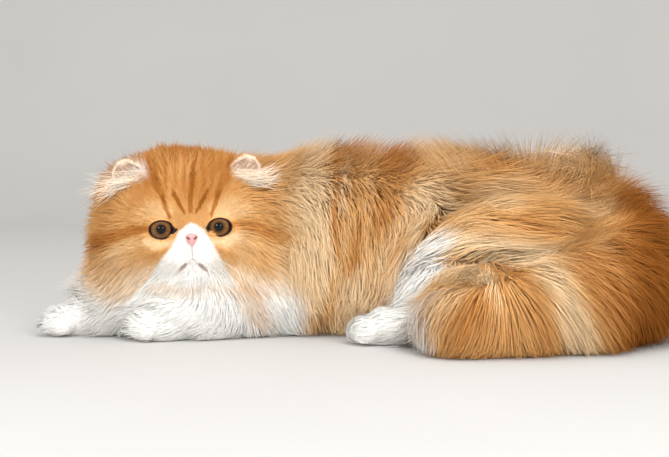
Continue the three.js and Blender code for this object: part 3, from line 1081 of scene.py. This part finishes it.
def tuft_mesh(name, paths, widths, colours, root_uv, outward, soft):
    """One mesh of closed slivers. paths is tuft by point by place, and colours has a colour for each point.

    outward points away from the skin, and soft is the outward direction of the whole mass. Light on a mass
    of fine hair follows the mass more than the single hair, so the faces that look outward get most of their
    shading from soft.
    """
    count, rings = paths.shape[0], paths.shape[1] - 1
    ahead = unit(np.gradient(paths, axis=1))
    out = [outward]
    for way in ahead.transpose(1, 0, 2):
        out.append(unit(out[-1] - (out[-1] * way).sum(1, keepdims=True) * way))
    out = np.stack(out[1:], 1)
    side = np.cross(ahead, out)
    t = np.linspace(0, 1, rings + 1)[:rings]
    girth = (0.6 + 0.4 * np.sin(np.clip(t / 0.35, 0, 1) * math.pi / 2)) * (1 - t**2.2 * 0.7)
    w = (widths[:, None] * girth[None, :])[..., None] / 2
    centre, side, out = paths[:, :rings], side[:, :rings], out[:, :rings]
    ring = np.stack([centre - side * w, centre + side * w, centre + out * w * RIDGE_HEIGHT], 2)
    verts = np.concatenate([ring.reshape(count, rings * 3, 3), paths[:, rings:]], 1)
    per = rings * 3 + 1
    faces = [(0, 1, 2)]
    for r in range(rings - 1):
        for c in range(3):
            a, b = r * 3 + c, r * 3 + (c + 1) % 3
            faces += [(b, a, b + 3), (b + 3, a, a + 3)]
    for c in range(3):
        faces.append(((rings - 1) * 3 + (c + 1) % 3, (rings - 1) * 3 + c, per - 1))
    faces = np.array(faces, np.int32)
    index = (faces[None] + (np.arange(count, dtype=np.int32) * per)[:, None, None]).reshape(-1)
    mesh = bpy.data.meshes.new(name)
    mesh.vertices.add(count * per)
    mesh.vertices.foreach_set("co", to_frame(verts.reshape(-1, 3)).astype(np.float32).ravel())
    mesh.loops.add(len(index))
    mesh.loops.foreach_set("vertex_index", index)
    mesh.polygons.add(len(index) // 3)
    mesh.polygons.foreach_set("loop_start", np.arange(0, len(index), 3, dtype=np.int32))
    mesh.update(calc_edges=True)
    shade_smooth(mesh)
    spread = np.repeat(colours[:, :rings], 3, axis=1)
    paint(mesh, np.concatenate([spread, colours[:, rings:]], 1).reshape(-1, 3))
    patch = np.zeros((per, 2))
    patch[: rings * 3, 0] = np.tile([0, 1, 0.5], rings)
    patch[: rings * 3, 1] = np.repeat(t, 3)
    patch[-1] = (0.5, 1)
    uv = (root_uv[:, None, :] + UV_PATCH * (patch - 0.5)[None]).reshape(-1, 2)
    mesh.uv_layers.new(name="OFBake").data.foreach_set("uv", uv[index].astype(np.float32).ravel())
    corners = verts[:, faces]
    own = unit(np.cross(corners[:, :, 1] - corners[:, :, 0], corners[:, :, 2] - corners[:, :, 0]))
    soft = soft[:, np.minimum(faces.max(1) // 3, rings)]
    share = SOFT_SHARE * fade((own * soft).sum(2), -0.25, 0.35)[..., None]
    own = unit(own * (1 - share) + soft * share)
    shading = mesh.attributes.new("custom_normal", "FLOAT_VECTOR", "CORNER")
    shading.data.foreach_set("vector", np.repeat(own.reshape(-1, 3), 3, axis=0).astype(np.float32).ravel())
    return mesh


def plant(chance, count):
    """Chooses roots at random on the skin: places, outward normals and places on the unwrap."""
    odds = areas * chance
    chosen = rng.choice(len(areas), count, p=odds / odds.sum())
    a, b = np.sqrt(rng.uniform(size=count)), rng.uniform(size=count)
    weights = np.stack([1 - a, a * (1 - b), a * b], 1)[..., None]
    roots = (triangles[chosen] * weights).sum(1)
    return roots, facing[chosen], (skin_uv[chosen] * weights).sum(1)


COAT_PIECES = []


def finish_coat(name, paths, widths, tone, white, root_uv, outward, soft=None):
    count, rings = paths.shape[0], paths.shape[1] - 1
    colours = []
    for k in range(rings + 1):
        t = k / rings
        shade = coat_colour(np.clip(tone + 0.06 - 0.16 * t, 0, 3), white)
        # Roots are painted up to a tenth lighter than tips. This is painted light that lifts the shade in the gaps
        # between tufts, where the roots show.
        colours.append(shade * (1.10 - 0.10 * t))
    colours = np.stack(colours, 1) * rng.uniform(0.95, 1.05, count)[:, None, None]
    if soft is None:
        p = paths[:, 1:].reshape(-1, 3)
        soft = unit(slope(coat_form, p, 4.0)) + 0.6 * unit(slope(skin_form, p, 3.0))
        soft = unit(soft + 0.2 * np.repeat(outward, rings, 0)).reshape(count, rings, 3)[:, [0, *range(rings)]]
    mesh = tuft_mesh(name, paths, widths, np.clip(colours, 0, 0.95), root_uv, outward, soft)
    COAT_PIECES.append(new_object(name, mesh, hair))
    print(name, count, "tufts,", len(mesh.polygons), "triangles, fine normals:", mesh.has_custom_normals)


def grow(
    name, chance, count, steps, width, pull=0.22, lock=0.06, rise=0.85,
    tops=(0.58, 1.0), longer=1.0, lie_at=lie_of, pale=0.0,
):
    """Makes one piece of coat.

    chance is the odds of a root on each triangle of skin, and pull and lock gather tufts. tops is the range
    of levels that the tips reach, rise how late they climb there, and pale a shift towards cream. On the
    fringe, that shift is partly painted light on the standing hairs.
    """
    roots, normals, root_uv = plant(chance, count)
    share = shares(roots)
    wave = np.stack([ripple(roots, 18, first) for first in (0, 5, 11)], 1)
    fine = rng.uniform(size=count) ** 2
    lengths = length_of(roots, share) * longer * rng.uniform(0.65, 1.05, count) * (1 + 0.2 * fine)
    above = 0.75 * rng.uniform(size=count) ** 0.7 + 0.3 * fine
    top = (tops[0] + (tops[1] - tops[0]) * above) * top_of(roots, share)
    stray = 0.10 * wave + rng.normal(size=(count, 3)) * (0.06 + 0.08 * fine)[:, None]
    lie = unit(lie_at(roots, share) + 0.2 * wave)
    paths = walk(roots, normals, lie, lengths, top, steps, stray, rise, lie_at)
    paths = gather(paths, pull * (1 - 0.7 * fine), lock)
    seen = roots * 0.35 + paths[:, (steps + 1) // 2] * 0.65
    tone, white = markings(seen, share)
    tone = tone * (1 - pale) + rng.normal(size=count) * 0.08
    widths = width * rng.uniform(0.75, 1.25, count) * (1 - 0.55 * fine)
    finish_coat(name, paths, widths, tone, white, root_uv, normals)
    return paths


def between(pair, count):
    """Random places on the line between two points."""
    a = rng.uniform(size=count)[:, None]
    return np.array(pair[0], float) * (1 - a) + np.array(pair[1], float) * a


EVERY = 7


def wisps(name, starts, bends, ends, steps, width, tone, white):
    """Hairs laid out in the head's axes. Each leaves its start, bends once and stops at its end."""
    count = len(starts)
    t = np.linspace(0, 1, steps + 1)[None, :, None]
    curve = starts[:, None] * (1 - t) ** 2 + 2 * bends[:, None] * t * (1 - t) + ends[:, None] * t**2
    paths = from_head(curve.reshape(-1, 3)).reshape(curve.shape)
    near = np.arange(0, len(middles), EVERY)[nearest_index(middles[::EVERY], paths[:, 0])]
    widths = width * rng.uniform(0.5, 1.2, count)
    tone, white = tone + rng.normal(size=count) * 0.12, np.full(count, white)
    forward = np.broadcast_to(unit(HEAD_AXES @ (0, -1, 0.5)), (count, 3))
    soft = np.broadcast_to(forward[:, None], paths.shape)
    finish_coat(name, paths, widths, tone, white, skin_uv[near].mean(1), forward, soft)


# %% [markdown]
# ## The coat, region by region
# Short fine hair needs many small tufts and long hair fewer, wider ones. The side that faces the viewer
# gets the finer tufts. Bare places are left for the eyes, the nose leather and the lips.

# %% Grow the coat
mid_q = to_head(middles)
bare = (past_lids(mid_q) > 1.0) * (past_corner(mid_q, 4.4, 3.0) > 0) * 1.0
bare *= (ellipsoid((0, -8, -8), (6.2, 8, 6.4))(mid_q) > 0) | (mid_q[:, 1] > 10)
bare *= past_lips(mid_q) > 1.1
hidden = np.where((facing[:, 2] < -0.5) & (middles[:, 2] < 30), 0.12, 1.0)
from_nose = nose_gap(mid_q)
is_head = middle_share["head"] * bare
faced = is_head * (mid_q[:, 1] < 34) * (from_nose < 48)
near_side = fade(MIDLINE - middles[:, 1], -20, 20)
ruling = {name: part * (part > 0.15) for name, part in middle_share.items()}
ruff_odds = ruling["ruff"] * hidden * (is_head < 0.5)
trunk_odds = ruling["trunk"] * hidden
haunch_odds = ruling["haunch"] * hidden
tail_odds = ruling["tail"] * hidden
leg_odds = ruling["legs"] * np.where(facing[:, 2] < -0.6, 0.15, 1.0)
face_odds = faced * np.interp(from_nose, [0, 14, 26, 48], [5.0, 3.0, 1.4, 0.8])
crown_odds = is_head * (faced == 0) * fade(mid_q[:, 2], -5, 12)

grow("coat_face", face_odds, 19500, 2, 0.88, 0.12, 0.1, tops=(0.35, 1.0))
grow("coat_crown", crown_odds, 11700, 2, 1.05, 0.15, tops=(0.5, 0.98), longer=0.85)
grow("coat_cheeks", is_head * (from_nose > 40) * fade(-mid_q[:, 2], -16, 0), 9000, 3, 1.15)
grow("coat_ruff_near", ruff_odds * near_side, 8000, 3, 1.25)
grow("coat_ruff_far", ruff_odds * (1 - near_side), 3800, 2, 1.6)
grow("coat_flank_near", trunk_odds * near_side, 11000, 3, 1.1)
grow("coat_flank_far", trunk_odds * (1 - near_side), 4800, 2, 1.9)
grow("coat_haunch_near", haunch_odds * near_side, 7500, 3, 1.1)
grow("coat_haunch_far", haunch_odds * (1 - near_side), 3500, 2, 1.7)
grow("coat_tail_base", tail_odds * (middles[:, 1] > 62), 5600, 2, 1.4, tops=(0.45, 1.1))
grow("coat_tail_bend", tail_odds * (middles[:, 1] <= 62) * (middles[:, 0] > 178), 6500, 3, 1.2)
grow("coat_tail_tip", tail_odds * (middles[:, 1] <= 62) * (middles[:, 0] <= 178), 8000, 3, 1.15)
grow("coat_legs", leg_odds, 7600, 2, 1.1, 0.15, 0.1)

# %% [markdown]
# Some hair doesn't follow the rest: the pale stream round the curl of the tail, the fringe that stands up
# from the root of the tail, and the pale hair in front of, round and inside each ear.


# %% Streams, fringe and ear hair
def stream_lie(p, share):
    way, close = line_lie(*as_seen(p, REAR_DISTANCE), ARC[1:], 14)
    return np.stack([way[:, 0], np.full(len(p), -0.3), way[:, 1] - 0.05], 1)


def fringe_lie(p, share):
    return unit(np.stack([(p[:, 0] - 158) / 75, (p[:, 1] - MIDLINE) / 110, np.ones(len(p))], 1))


seen_x, seen_z = as_seen(middles, REAR_DISTANCE)
in_front = (middles[:, 1] < 30) * (facing[:, 1] < 0.1)
stream = stroke(seen_x, seen_z, ARC[:7], 11) * in_front
grow("coat_stream", stream, 3400, 3, 0.8, 0.2, 0.06, 0.5, (0.8, 1.06), 1.1, stream_lie, 0.4)
at_x, at_y, at_z = middles.T
on_top = (at_y > 72) & (at_x > 98) & (at_x < 232) & (at_z > 92) & (facing[:, 2] > 0.2)
# The fringe is shifted towards cream partly for its pale hair and partly as painted light on the hairs that stand
# up.
grow("coat_fringe", on_top * 1.0, 5200, 2, 0.55, 0.12, 0.08, 0.8, (0.5, 1.25), 1.2, fringe_lie, 0.45)


def scatter(count, size):
    return rng.normal(size=(count, 3)) * size


def ear_place(side, u, t):
    """A point of the ear's cup, in the head's axes. u runs from edge to edge and t from foot to tip."""
    half = 14.5 * (1 - 0.30 * t**2) * math.sqrt(max(0.0, 1 - (max(0.0, t - 0.55) / 0.45) ** 2 * 0.80))
    q = Vector((u * half + side * 1.5 * t * t, 4.0 - 7.0 * u * u * (1 - 0.35 * t) - 1.5 * t, t * 23))
    q = Matrix.Rotation(math.radians(12), 3, "X") @ q
    q = Matrix.Rotation(side * math.radians(12), 3, "Z") @ q
    return Matrix.Rotation(side * math.radians(14), 3, "Y") @ q + Vector((45 if side > 0 else -43.5, 38, 34))


for side, word in SIDES.items():
    curl = 9 if side > 0 else 0
    count = 170
    starts = between([(side * 30, 25, 43), (side * 46, 27, 34)], count) + scatter(count, 2.2)
    bends = between([(side * 54, 20, 43), (side * 62, 25, 31)], count) + scatter(count, 3.5)
    ends = between([(side * 82, 36, 42 + curl), (side * 86, 38, 17 + curl)], count) + scatter(count, 6.0)
    ends = bends + (ends - bends) * rng.uniform(0.3, 1.05, count)[:, None]
    wisps("ear_hair_" + word, starts, bends, ends, 4, 0.3, 0.2, 0.45)
    count = 420
    around = rng.uniform(-1, 1, count)
    rim_u, rim_t = np.clip(around * 1.9, -1, 1), np.clip(1.9 * (1 - np.abs(around)) / 0.9, 0, 1)
    starts = np.array([ear_place(side, u * 0.96, t * 0.96 + 0.02) for u, t in zip(rim_u, rim_t)])
    out = unit(starts - np.array(ear_place(side, 0, 0.2)))
    ends = starts + (out + (-side * 0.4, 0.2, 0.3)) * rng.uniform(0.8, 2.2, count)[:, None]
    ends = ends + scatter(count, 0.3)
    wisps("ear_rim_" + word, starts, (starts + ends) / 2 + out * 0.2, ends, 2, 0.4, 0.25, 0.3)
    count = 260
    places = rng.uniform(size=(count, 2)) * (1.6, 0.62) + (-0.8, 0.05)
    starts = np.array([ear_place(side, u, t) for u, t in places]) - (0, 0.4, 0)
    ends = starts + np.array([side * 4.5, -2.0, 4.5]) * rng.uniform(0.4, 1.2, count)[:, None]
    ends = ends + scatter(count, 0.8)
    wisps("ear_lining_" + word, starts, (starts + ends) / 2 - (0, 1.0, 0), ends, 2, 0.28, 0.5, 0.3)

# %% [markdown]
# ## Eyes
# A cat's eye is a wet ball with a bulging clear front. In a photo it reads as a dark outer ring, a copper
# iris with fine spokes, and a black pupil with small reflections of the lights. The ball is turned towards
# the viewer and its two coordinates, the distance from the pupil's middle and the angle round it, drive the
# colour.

# %% Eyes
PUPIL_RADIUS = 3.4
IRIS_RADIUS = 8.6
CORNEA_RADIUS, CORNEA_BULGE = 8.0, 0.7
RAMP_REACH = 12.0


def eye_material():
    made, tree, shader = material("eye", 0.05, Specular_IOR_Level=0.27)
    spot = attribute(tree, "iris").outputs["Vector"]
    ramp = node(tree, "ValToRGB", Fac=node(tree, "SeparateXYZ", Vector=spot).outputs["X"])
    stops = [
        (0.0, (0.002, 0.0015, 0.0015, 1)),
        (PUPIL_RADIUS / RAMP_REACH, (0.002, 0.0015, 0.0015, 1)),
        (PUPIL_RADIUS / RAMP_REACH + 0.025, (0.050, 0.020, 0.006, 1)),
        (0.50, (0.185, 0.082, 0.024, 1)),
        (0.62, (0.150, 0.064, 0.019, 1)),
        (IRIS_RADIUS / RAMP_REACH - 0.015, (0.030, 0.010, 0.004, 1)),
        (IRIS_RADIUS / RAMP_REACH + 0.03, (0.006, 0.004, 0.004, 1)),
        (0.86, (0.010, 0.007, 0.008, 1)),
        (0.92, (0.03, 0.018, 0.016, 1)),
    ]
    ramp.color_ramp.elements[0].position, ramp.color_ramp.elements[0].color = stops[0]
    ramp.color_ramp.elements[1].position, ramp.color_ramp.elements[1].color = stops[-1]
    for place, colour in stops[1:-1]:
        ramp.color_ramp.elements.new(place).color = colour
    stretch = node(tree, "VectorMath")
    stretch.operation = "MULTIPLY"
    stretch.inputs[1].default_value = (5.0, 26.0, 26.0)
    tree.links.new(spot, stretch.inputs[0])
    spokes = node(tree, "TexNoise", Scale=1, Detail=4, Vector=stretch.outputs["Vector"])
    colour = multiplied(tree, ramp.outputs["Color"], spread_level(tree, spokes, 0.55, 1.5))
    tree.links.new(colour, shader.inputs["Base Color"])
    return made


eye_surface = eye_material()
eyes = {}
for side, word in SIDES.items():
    centre = from_head(EYES[side])
    gaze = unit(VIEWPOINT - centre)
    aim = Vector((0, 0, 1)).rotation_difference(Vector(gaze)).to_matrix().to_4x4()
    bm = bmesh.new()
    bmesh.ops.create_uvsphere(bm, u_segments=64, v_segments=48, radius=EYEBALL_RADIUS)
    for v in bm.verts:
        off = math.hypot(v.co.x, v.co.y)
        if v.co.z > 0 and off < CORNEA_RADIUS:
            v.co.z += CORNEA_BULGE * (1 - (off / CORNEA_RADIUS) ** 2) ** 2
    mesh = mesh_from(bm, "eye_" + word)
    local = points_of(mesh)
    away = np.hypot(local[:, 0], local[:, 1]) / RAMP_REACH
    away = np.where(local[:, 2] < 0, 1.0, away)
    turn = unit(local[:, :2])
    spot = mesh.attributes.new("iris", "FLOAT_VECTOR", "POINT")
    iris = np.stack([away, turn[:, 0] * 0.5, turn[:, 1] * 0.5], 1)
    spot.data.foreach_set("vector", iris.astype(np.float32).ravel())
    set_points(mesh, to_frame(local @ np.array(aim.to_3x3()).T + centre))
    shade_smooth(mesh)
    eyes[side] = new_object("eyeball_" + word, mesh, eye_surface)
print("eyes look at the viewer from", from_head(EYES[1]).round(1))

# %% [markdown]
# ## Lid rims and the nose leather
# Dark bare skin edges each eye, and the inner corner ends in a small dark point. The nose leather is a pink
# cushion with two comma-shaped nostrils and a groove below it.


# %% Lid rims
def tube(bm, points, radii, closed=False, sides=8):
    """Skins a line of points with rings joined side by side."""
    points = np.array(points, float)
    ahead = np.roll(points, -1, 0) - np.roll(points, 1, 0) if closed else np.gradient(points, axis=0)
    ahead = unit(ahead)
    rings = []
    for p, d, r in zip(points, ahead, np.broadcast_to(radii, len(points))):
        turn = Vector((0, 0, 1)).rotation_difference(Vector(d)).to_matrix().to_4x4()
        place = Matrix.Translation(Vector(p)) @ turn
        rings.append(bmesh.ops.create_circle(bm, segments=sides, radius=float(r), matrix=place)["verts"])
    pairs = list(zip(rings, rings[1:] + (rings[:1] if closed else [])))
    for a, b in pairs if closed else pairs[: len(rings) - 1]:
        gaps = [sum((a[i].co - b[(i + s) % sides].co).length for i in range(sides)) for s in range(sides)]
        shift = gaps.index(min(gaps))
        for i in range(sides):
            j = (i + 1) % sides
            bm.faces.new((a[i], a[j], b[(j + shift) % sides], b[(i + shift) % sides]))
    if not closed:
        bm.faces.new(rings[0][::-1])
        bm.faces.new(rings[-1])


def finish_mesh(bm, name, surface):
    bmesh.ops.recalc_face_normals(bm, faces=bm.faces)
    mesh = mesh_from(bm, name)
    set_points(mesh, to_frame(points_of(mesh)))
    shade_smooth(mesh)
    return new_object(name, mesh, surface)


def on_face(x, z):
    """The place on the front of the head's skin at x and z."""
    y = np.linspace(-16, 30, 461)
    column = np.stack([np.full_like(y, x), y, np.full_like(y, z)], 1)
    return column[np.argmax(head_form(column) < 0)]


RIM_DARK, RIM_PALE = (0.006, 0.004, 0.004), (0.035, 0.014, 0.013)
rim_surface = mottled("lid_rim", 0.5, 420, RIM_DARK, RIM_PALE, Specular_IOR_Level=0.25)

RIM_OPENING = (9.8, 7.3)
RIM_THICKNESS = 0.95
rims = {}
for side, word in SIDES.items():
    bm = bmesh.new()
    turns = np.linspace(0, 2 * math.pi, 72, endpoint=False)
    wide = RIM_OPENING[0] * np.cos(turns)
    tall = RIM_OPENING[1] * np.sin(turns) + 0.2
    inner = fade(-side * wide, 6.5, RIM_OPENING[0])
    wide = wide * (1 + 0.06 * inner)
    tall = tall * (1 - 0.35 * inner) - 0.7 * inner
    ball = EYEBALL_RADIUS + 0.25
    deep = -np.sqrt(np.maximum(ball**2 - wide**2 - tall**2, 1.5))
    loop = np.stack([wide, deep, tall], 1) + EYES[side]
    skin_y = np.array([on_face(x, z)[1] for x, _, z in loop])
    loop[:, 1] = np.where(inner > 0.5, np.minimum(loop[:, 1], skin_y + 0.2), loop[:, 1])
    tube(bm, from_head(loop), RIM_THICKNESS, closed=True)
    x, z = EYES[side][0] - side * 10.9, -0.9
    corner = Vector(from_head((x, on_face(x, z)[1] + 0.5, z)))
    at = Matrix.Translation(corner) @ Matrix(HEAD_AXES.tolist()).to_4x4()
    bmesh.ops.create_icosphere(bm, subdivisions=3, radius=1, matrix=at @ Matrix.Diagonal((2.3, 1.2, 1.3, 1)))
    rims[side] = finish_mesh(bm, "lid_rim_" + word, rim_surface)
print("lid rims:", len(rims))

# %% Nose leather
nose_body = melt(2.5, ellipsoid((0, -6.6, -6), (4.9, 4.4, 3.0)), ellipsoid((0, -6.6, -9.4), (3.0, 4.0, 3.6)))
NOSTRIL = [(2.3, -11.6, -7.6), (3.6, -10.4, -7.2), (4.7, -8.6, -6.4)]
nostrils = [limb([(s * x, y, z) for x, y, z in NOSTRIL], [0.75, 0.65, 0.4]) for s in SIDES]
nose_form = scoop(0.7, nose_body, *nostrils, limb([(0, -11.2, -8.8), (0, -11.4, -14)], [0.4, 0.5]))
bm = bmesh.new()
bmesh.ops.create_icosphere(bm, subdivisions=6, radius=5.0, matrix=Matrix.Translation((0, -7, -7.2)))
places = np.array([v.co for v in bm.verts])
for _ in range(3):
    places = settle(places, nose_form, 4, 1.0)
for v, co in zip(bm.verts, from_head(places)):
    v.co = co
nose_surface, tree, shader = material("nose_leather", 0.42, Coat_Weight=0.25, Coat_Roughness=0.3)
place = node(tree, "TexCoord").outputs["Object"]
pink = two_tone(tree, node(tree, "TexNoise", Scale=260, Vector=place), (0.66, 0.27, 0.27), (0.84, 0.45, 0.43))
tree.links.new(multiplied(tree, pink, attribute(tree, "coat").outputs["Color"]), shader.inputs["Base Color"])
relief(tree, shader, node(tree, "TexVoronoi", Scale=1500, Vector=place).outputs["Distance"], 0.25, 0.0003)
nose = finish_mesh(bm, "nose_leather", nose_surface)
hole = np.minimum(nostrils[0](places), nostrils[1](places))
# The nostrils are painted dark as well as cut in. This is painted shade inside their holes.
paint(nose.data, fade(hole, -0.2, 0.7)[:, None] * (0.80, 0.92, 0.92) + (0.20, 0.08, 0.08))
print("nose leather:", len(nose.data.polygons), "faces")

# %% [markdown]
# ## Ears
# A persian's ears are small, round-tipped and set low and wide, tilted forward. Each is a thin cupped
# shell: pink and thinly haired inside, with a pale rim. A sheet is bent to the cup, thickened, and rounded
# by subdivision. Its foot sinks into the skin, where the coat hides the join.


# %% Ear shells
def ear_sheet(side):
    bm = bmesh.new()
    bmesh.ops.create_grid(bm, x_segments=16, y_segments=14, size=0.5)
    for v in bm.verts:
        v.co = ear_place(side, v.co.x * 2, v.co.y + 0.5)
    bmesh.ops.solidify(bm, geom=bm.faces[:] + bm.edges[:] + bm.verts[:], thickness=1.3)
    bmesh.ops.recalc_face_normals(bm, faces=bm.faces)
    for v in bm.verts:
        v.co = from_head(np.array(v.co))
    return bm


ear_surface = painted("ear_skin", 0.0015, 0.006, 0.16, 0.7, 0.2, Specular_IOR_Level=0.2)
ears = {}
for side, word in SIDES.items():
    sheet = ear_sheet(side)
    places = to_head(np.array([v.co for v in sheet.verts]))
    grid = [(u, t) for u in np.linspace(-1, 1, 21) for t in np.linspace(0, 1, 15)]
    spots = np.array([ear_place(side, u, t) for u, t in grid])
    closest = np.array(grid)[np.linalg.norm(places[:, None] - spots[None], axis=2).argmin(1)]
    edge = fade(np.maximum(np.abs(closest[:, 0]), closest[:, 1]), 0.72, 0.95)[:, None]
    front = np.array([(np.array(v.normal) @ HEAD_AXES)[1] < 0 for v in sheet.verts])[:, None]
    inside = np.array((0.46, 0.30, 0.24)) * (1 - edge) + np.array((0.84, 0.66, 0.52)) * edge
    ears[side] = finish_mesh(sheet, "ear_shell_" + word, ear_surface)
    paint(ears[side].data, np.where(front, inside, (0.62, 0.30, 0.10)))
    rounding = ears[side].modifiers.new("round", "SUBSURF")
    rounding.levels = rounding.render_levels = 1
print("ears:", [len(ear.data.polygons) for ear in ears.values()])

# %% [markdown]
# ## Whiskers and lips
# Fine white whiskers leave the pads in rows and droop. Each is a thin tapering tube. The lips are tubes
# too, laid in the cleft below the nose and along both arms of the mouth. Their grey-brown is partly the
# lips' own colour and partly painted shade in the crease of the mouth.

# %% Whiskers and the line of the lips
whisker_surface = mottled("whisker", 0.35, 1000 / 3, (0.84, 0.80, 0.74), (0.95, 0.93, 0.89))
bm = bmesh.new()
for side in SIDES:
    for i in range(9):
        row, column = divmod(i, 3)
        start = on_face(side * (10 + 3.2 * column), -21 - 3.6 * row - 1.2 * column)
        out = unit(np.array([side * (1.0 + 0.1 * column), -0.35 + 0.12 * column, -0.45 - 0.2 * row]))
        reach = rng.uniform(36, 58)
        t = np.linspace(0, 1, 9)[:, None]
        line = start + out * reach * t + np.array([0, 0.2 * reach, -0.4 * reach]) * t**2
        tube(bm, from_head(line), 0.15 * (1 - 0.8 * t[:, 0]), sides=4)
whiskers = finish_mesh(bm, "whiskers", whisker_surface)

lip_and_crease_shade_surface = mottled("lip_and_crease_shade", 0.45, 700, (0.36, 0.22, 0.20), (0.55, 0.37, 0.33))
bm = bmesh.new()
cleft = np.array([on_face(0, z) - (0, 1.0, 0) for z in np.linspace(-11, -26, 9)])
tube(bm, from_head(cleft), np.linspace(0.3, 0.45, 9))
for side in SIDES:
    xs = np.linspace(0, 14, 15)
    zs = np.interp(xs, [x for x, _ in LIPS], [z for _, z in LIPS]) + 0.2
    arm = np.array([on_face(side * x, z) - (0, 1.5, 0) for x, z in zip(xs, zs)])
    tube(bm, from_head(arm), np.interp(xs, [0, 7, 14], [0.3, 0.36, 0.15]))
lip_and_crease_shade_piece = finish_mesh(bm, "lip_and_crease_shade", lip_and_crease_shade_surface)
print("whiskers:", len(whiskers.data.polygons), "faces, lips:", len(lip_and_crease_shade_piece.data.polygons))

# %% [markdown]
# ## Finishing
# The skin is moved into the frame, the imported solids are hidden, and every piece is tied to the cat's one
# body.

# %% Ties to the frame
set_points(skin_mesh, to_frame(skin_points))
FLESH = [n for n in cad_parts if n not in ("eye_left", "eye_right", "nose", "ear_left", "ear_right")]
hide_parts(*FLESH)
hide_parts("nose")
for side, word in SIDES.items():
    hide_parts("eye_" + word)
    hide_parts("ear_" + word)
slots = {skin: "red_coat", nose: "nose_leather", whiskers: "white_coat", lip_and_crease_shade_piece: "nose_leather"}
slots |= {piece: "red_coat" for piece in COAT_PIECES}
slots |= {eye: "copper_eye" for eye in eyes.values()}
slots |= {ear: "cream_coat" for ear in ears.values()}
slots |= {rim: "nose_leather" for rim in rims.values()}
for piece, name in slots.items():
    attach(piece, "root")
print("pieces:", len(slots))

# %% [markdown]
# ## Floor, light and camera
# A pale sweep stands in for the studio. Two large soft lamps in front light the coat without dark gaps, a
# third one above lifts the back, and two small ones put a point of light on each side of the pupils. The
# camera is low, at the height of the cat's back, and long, which keeps the head's proportions.

# %% Studio
FLOOR_WIDTH, FLOOR_FRONT, FLOOR_BACK, BEND_RADIUS = 6.0, -2.2, 1.4, 0.8
bm = bmesh.new()
edge = [bm.verts.new((x, FLOOR_FRONT, 0)) for x in (-FLOOR_WIDTH / 2, FLOOR_WIDTH / 2)]
line = bm.edges.new(edge)
floor_end = bmesh.ops.extrude_edge_only(bm, edges=[line])
verts = [g for g in floor_end["geom"] if isinstance(g, bmesh.types.BMVert)]
bmesh.ops.translate(bm, vec=(0, FLOOR_BACK - FLOOR_FRONT, 0), verts=verts)
ends = [g for g in floor_end["geom"] if isinstance(g, bmesh.types.BMEdge)]
last = [g for g in ends if all(v in verts for v in g.verts)]
turn = dict(cent=(0, FLOOR_BACK, BEND_RADIUS), axis=(1, 0, 0), angle=math.radians(90), steps=16)
bmesh.ops.spin(bm, geom=last, **turn)
floor_surface = mottled("studio_floor", 0.8, 3, (0.60, 0.59, 0.575), (0.66, 0.65, 0.635))
sweep = new_object("sweep", mesh_from(bm, "sweep"), floor_surface)
shade_smooth(sweep.data)


def lamp(name, place, target, power, size, mirrored_in_eyes=False):
    data = bpy.data.lights.new(name, "AREA")
    data.shape = "SQUARE"
    data.energy, data.size = power, size
    obj = bpy.data.objects.new(name, data)
    bpy.context.scene.collection.objects.link(obj)
    obj.location = place
    obj.rotation_euler = (Vector(target) - Vector(place)).to_track_quat("-Z", "Y").to_euler()
    obj.visible_glossy = mirrored_in_eyes


lamp("key", (-0.60, -1.65, 0.70), (-0.05, 0, 0.06), 5.5, 1.4)
lamp("fill", (0.70, -1.65, 0.65), (0.12, 0, 0.06), 15, 1.4)
lamp("top", (0.10, -0.55, 1.50), (0.05, 0.02, 0.08), 9, 1.4)
lamp("spark_left", (-0.74, -1.45, 0.74), (-0.15, 0, 0.09), 6.5, 0.24, True)
lamp("spark_right", (0.62, -1.45, 0.74), (-0.15, 0, 0.09), 4, 0.20, True)
world = bpy.data.worlds.new("studio")
bpy.context.scene.world = world
world.use_nodes = True
world.node_tree.nodes["Background"].inputs["Color"].default_value = (1.0, 0.985, 0.96, 1)
world.node_tree.nodes["Background"].inputs["Strength"].default_value = 0.74
bpy.context.scene.view_settings.view_transform = "Standard"

# %% Camera
FRAME_WIDTH, FRAME_HEIGHT = 669, 457
FOCAL_PIXELS = 1440.0
HORIZON_ROW = 137.0
data = bpy.data.cameras.new("camera")
data.sensor_width = 36
data.lens = FOCAL_PIXELS * data.sensor_width / FRAME_WIDTH
camera = bpy.data.objects.new("camera", data)
bpy.context.scene.collection.objects.link(camera)
camera.location = to_frame(VIEWPOINT)
pitch = math.atan((FRAME_HEIGHT / 2 - HORIZON_ROW) / FOCAL_PIXELS)
camera.rotation_euler = (math.radians(90) - pitch, 0, 0)
data.clip_start = 0.02
bpy.context.scene.camera = camera
print("camera at", [round(v, 3) for v in camera.location], "lens", round(data.lens, 1))
